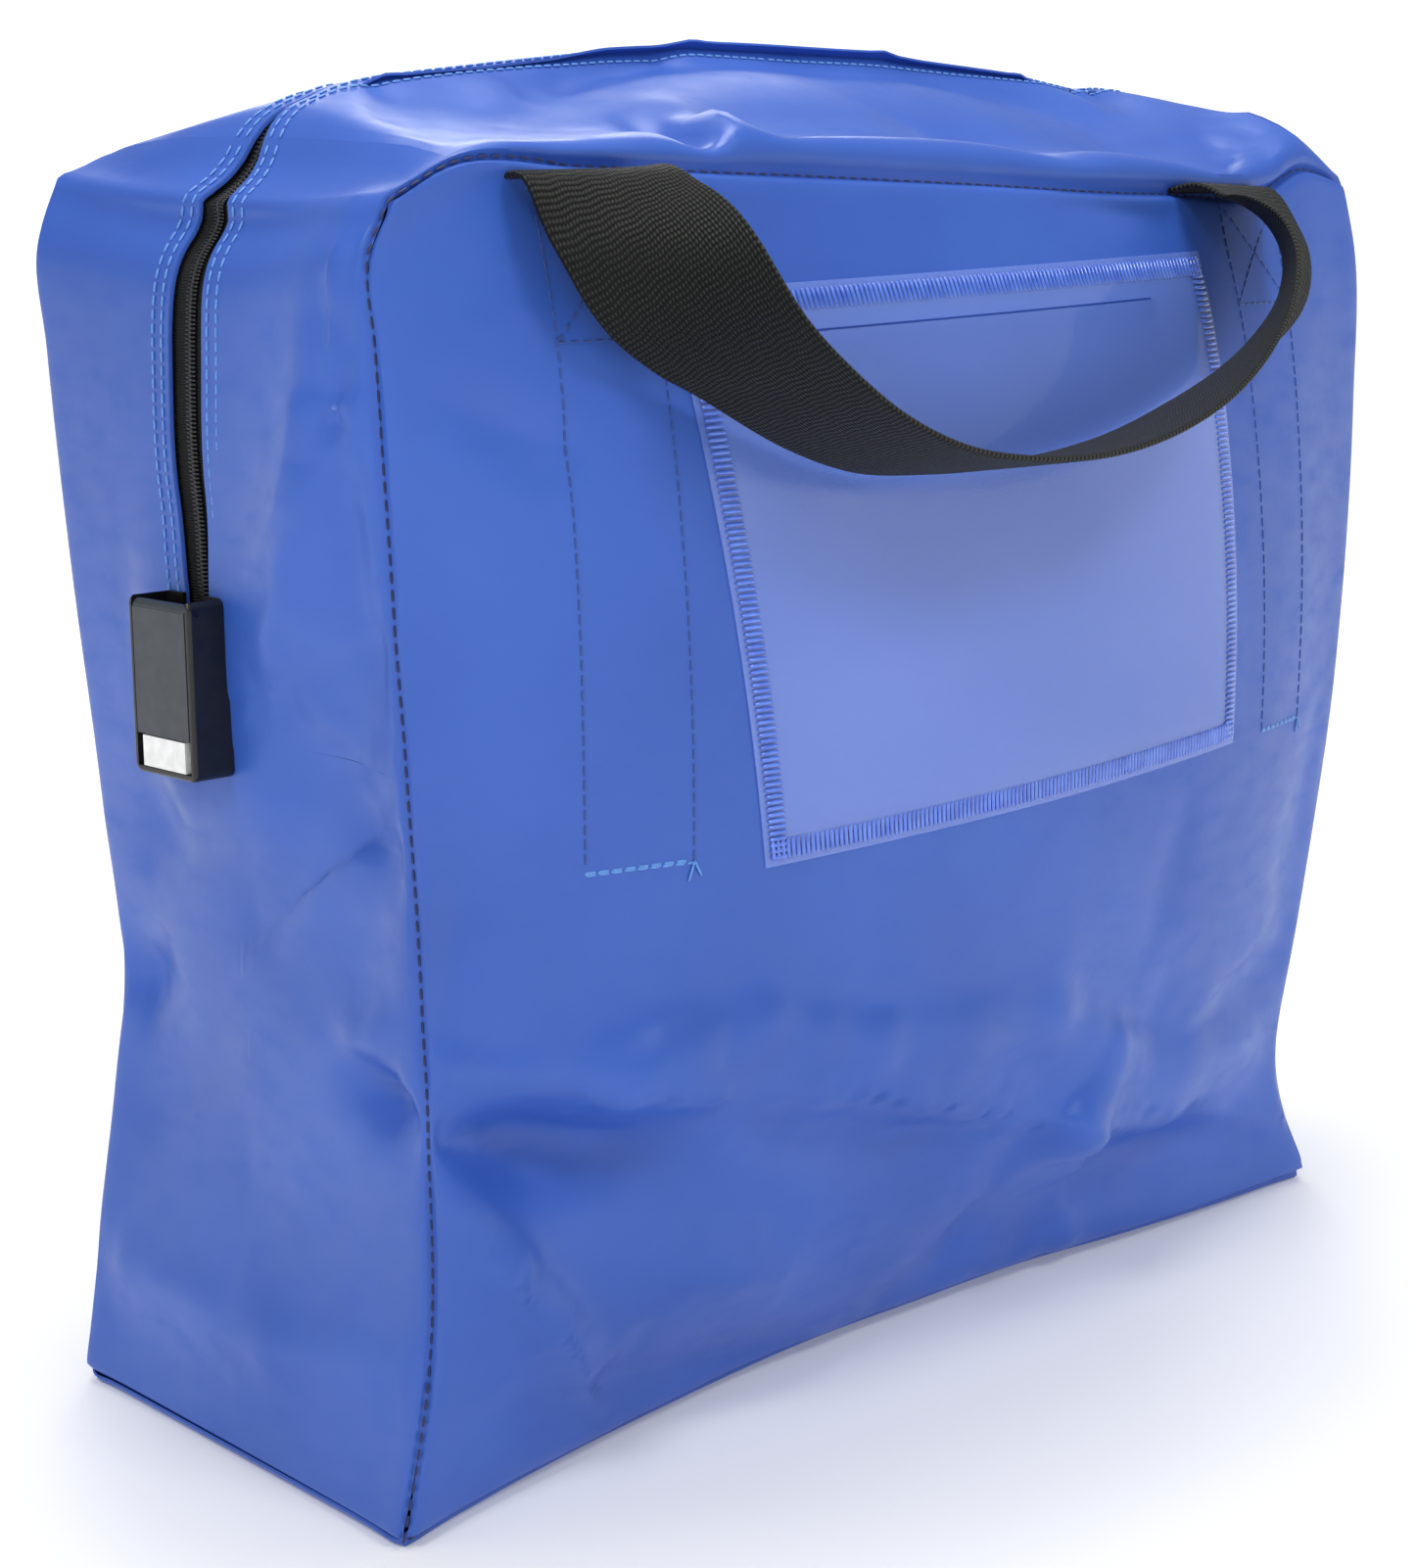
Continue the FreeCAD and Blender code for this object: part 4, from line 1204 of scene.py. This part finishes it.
def floor():
    """A pale floor whose rim curves up far from the object."""
    mesh = bpy.data.meshes.new("floor")
    turns = 2 * np.pi * np.arange(96) / 96
    profile = [(0.4, 0), (1.5, 0), (3.0, 0), (4.6, 0), (5.1, 0.05), (5.5, 0.2), (5.8, 0.5), (5.95, 1.0)]
    points = [(r * math.cos(t), r * math.sin(t), z) for r, z in profile for t in turns] + [(0, 0, 0)]
    faces = [face[::-1] for face in ring_faces(len(profile), len(turns))]
    faces += [(k, (k + 1) % len(turns), len(points) - 1) for k in range(len(turns))]
    mesh.from_pydata(points, [], faces)
    mesh.polygons.foreach_set("use_smooth", [True] * len(mesh.polygons))
    s = Surface("pale_floor", (0.86, 0.86, 0.87), 0.7, {"Emission Color": (1, 1, 1, 1)})
    s.drive("Base Color", s.ramp(s.noise(3, 2), (0.3, (0.85, 0.85, 0.86)), (0.7, (0.88, 0.88, 0.885))))
    # The floor glows more towards its rim, so that the background stays white.
    distance = s.node("VectorMath", "Value", {0: s.place}, operation="LENGTH")
    share = s.maths("MULTIPLY", distance, 1 / 6)
    s.drive("Emission Strength", s.ramp(share, (0.2, 0.16), (0.45, 0.6)))
    mesh.materials.append(s.material)
    ground = bpy.data.objects.new("floor", mesh)
    scene.collection.objects.link(ground)


floor()
AZIMUTH, PITCH, ROLL = math.radians(43.92), math.radians(11.45), math.radians(0.57)
camera = bpy.data.cameras.new("camera")
viewpoint = bpy.data.objects.new("camera", camera)
scene.collection.objects.link(viewpoint)
level = math.cos(PITCH)
forward = Vector((math.sin(AZIMUTH) * level, math.cos(AZIMUTH) * level, -math.sin(PITCH)))
aimed = forward.to_track_quat("-Z", "Y").to_matrix().to_4x4()
eye = Matrix.Translation(Vector((-726.5, -720.7, 391.6)) * MM)
viewpoint.matrix_world = eye @ aimed @ Matrix.Rotation(-ROLL, 4, "Z")
camera.sensor_width = 36
camera.lens = 66.41
camera.shift_x, camera.shift_y = 0.00806, -0.00425
camera.clip_start = 0.02
scene.camera = viewpoint


def soft_light(name, place, aim, size, power):
    lamp = bpy.data.lights.new(name, "AREA")
    lamp.shape = "RECTANGLE"
    lamp.size, lamp.size_y = size
    lamp.energy = power
    holder = bpy.data.objects.new(name, lamp)
    scene.collection.objects.link(holder)
    holder.location = place
    holder.rotation_euler = (Vector(aim) - Vector(place)).to_track_quat("-Z", "Y").to_euler()


soft_light("key", (-1.7, -0.5, 2.2), (0, 0, 0.25), (0.7, 0.7), 21)
soft_light("front_fill", (0.1, -1.9, 2.2), (0, 0, 0.25), (0.7, 0.6), 17)
soft_light("top", (0.2, 0.2, 2.4), (0, 0, 0.2), (1.0, 1.0), 30)
soft_light("rear", (1.4, 1.8, 1.4), (0, 0, 0.2), (1.2, 1.0), 14)
world = bpy.data.worlds.new("studio")
world.use_nodes = True
backdrop = world.node_tree.nodes["Background"].inputs
backdrop["Color"].default_value = (1, 1, 1, 1)
backdrop["Strength"].default_value = 0.34
scene.world = world
scene.view_settings.view_transform = "Standard"
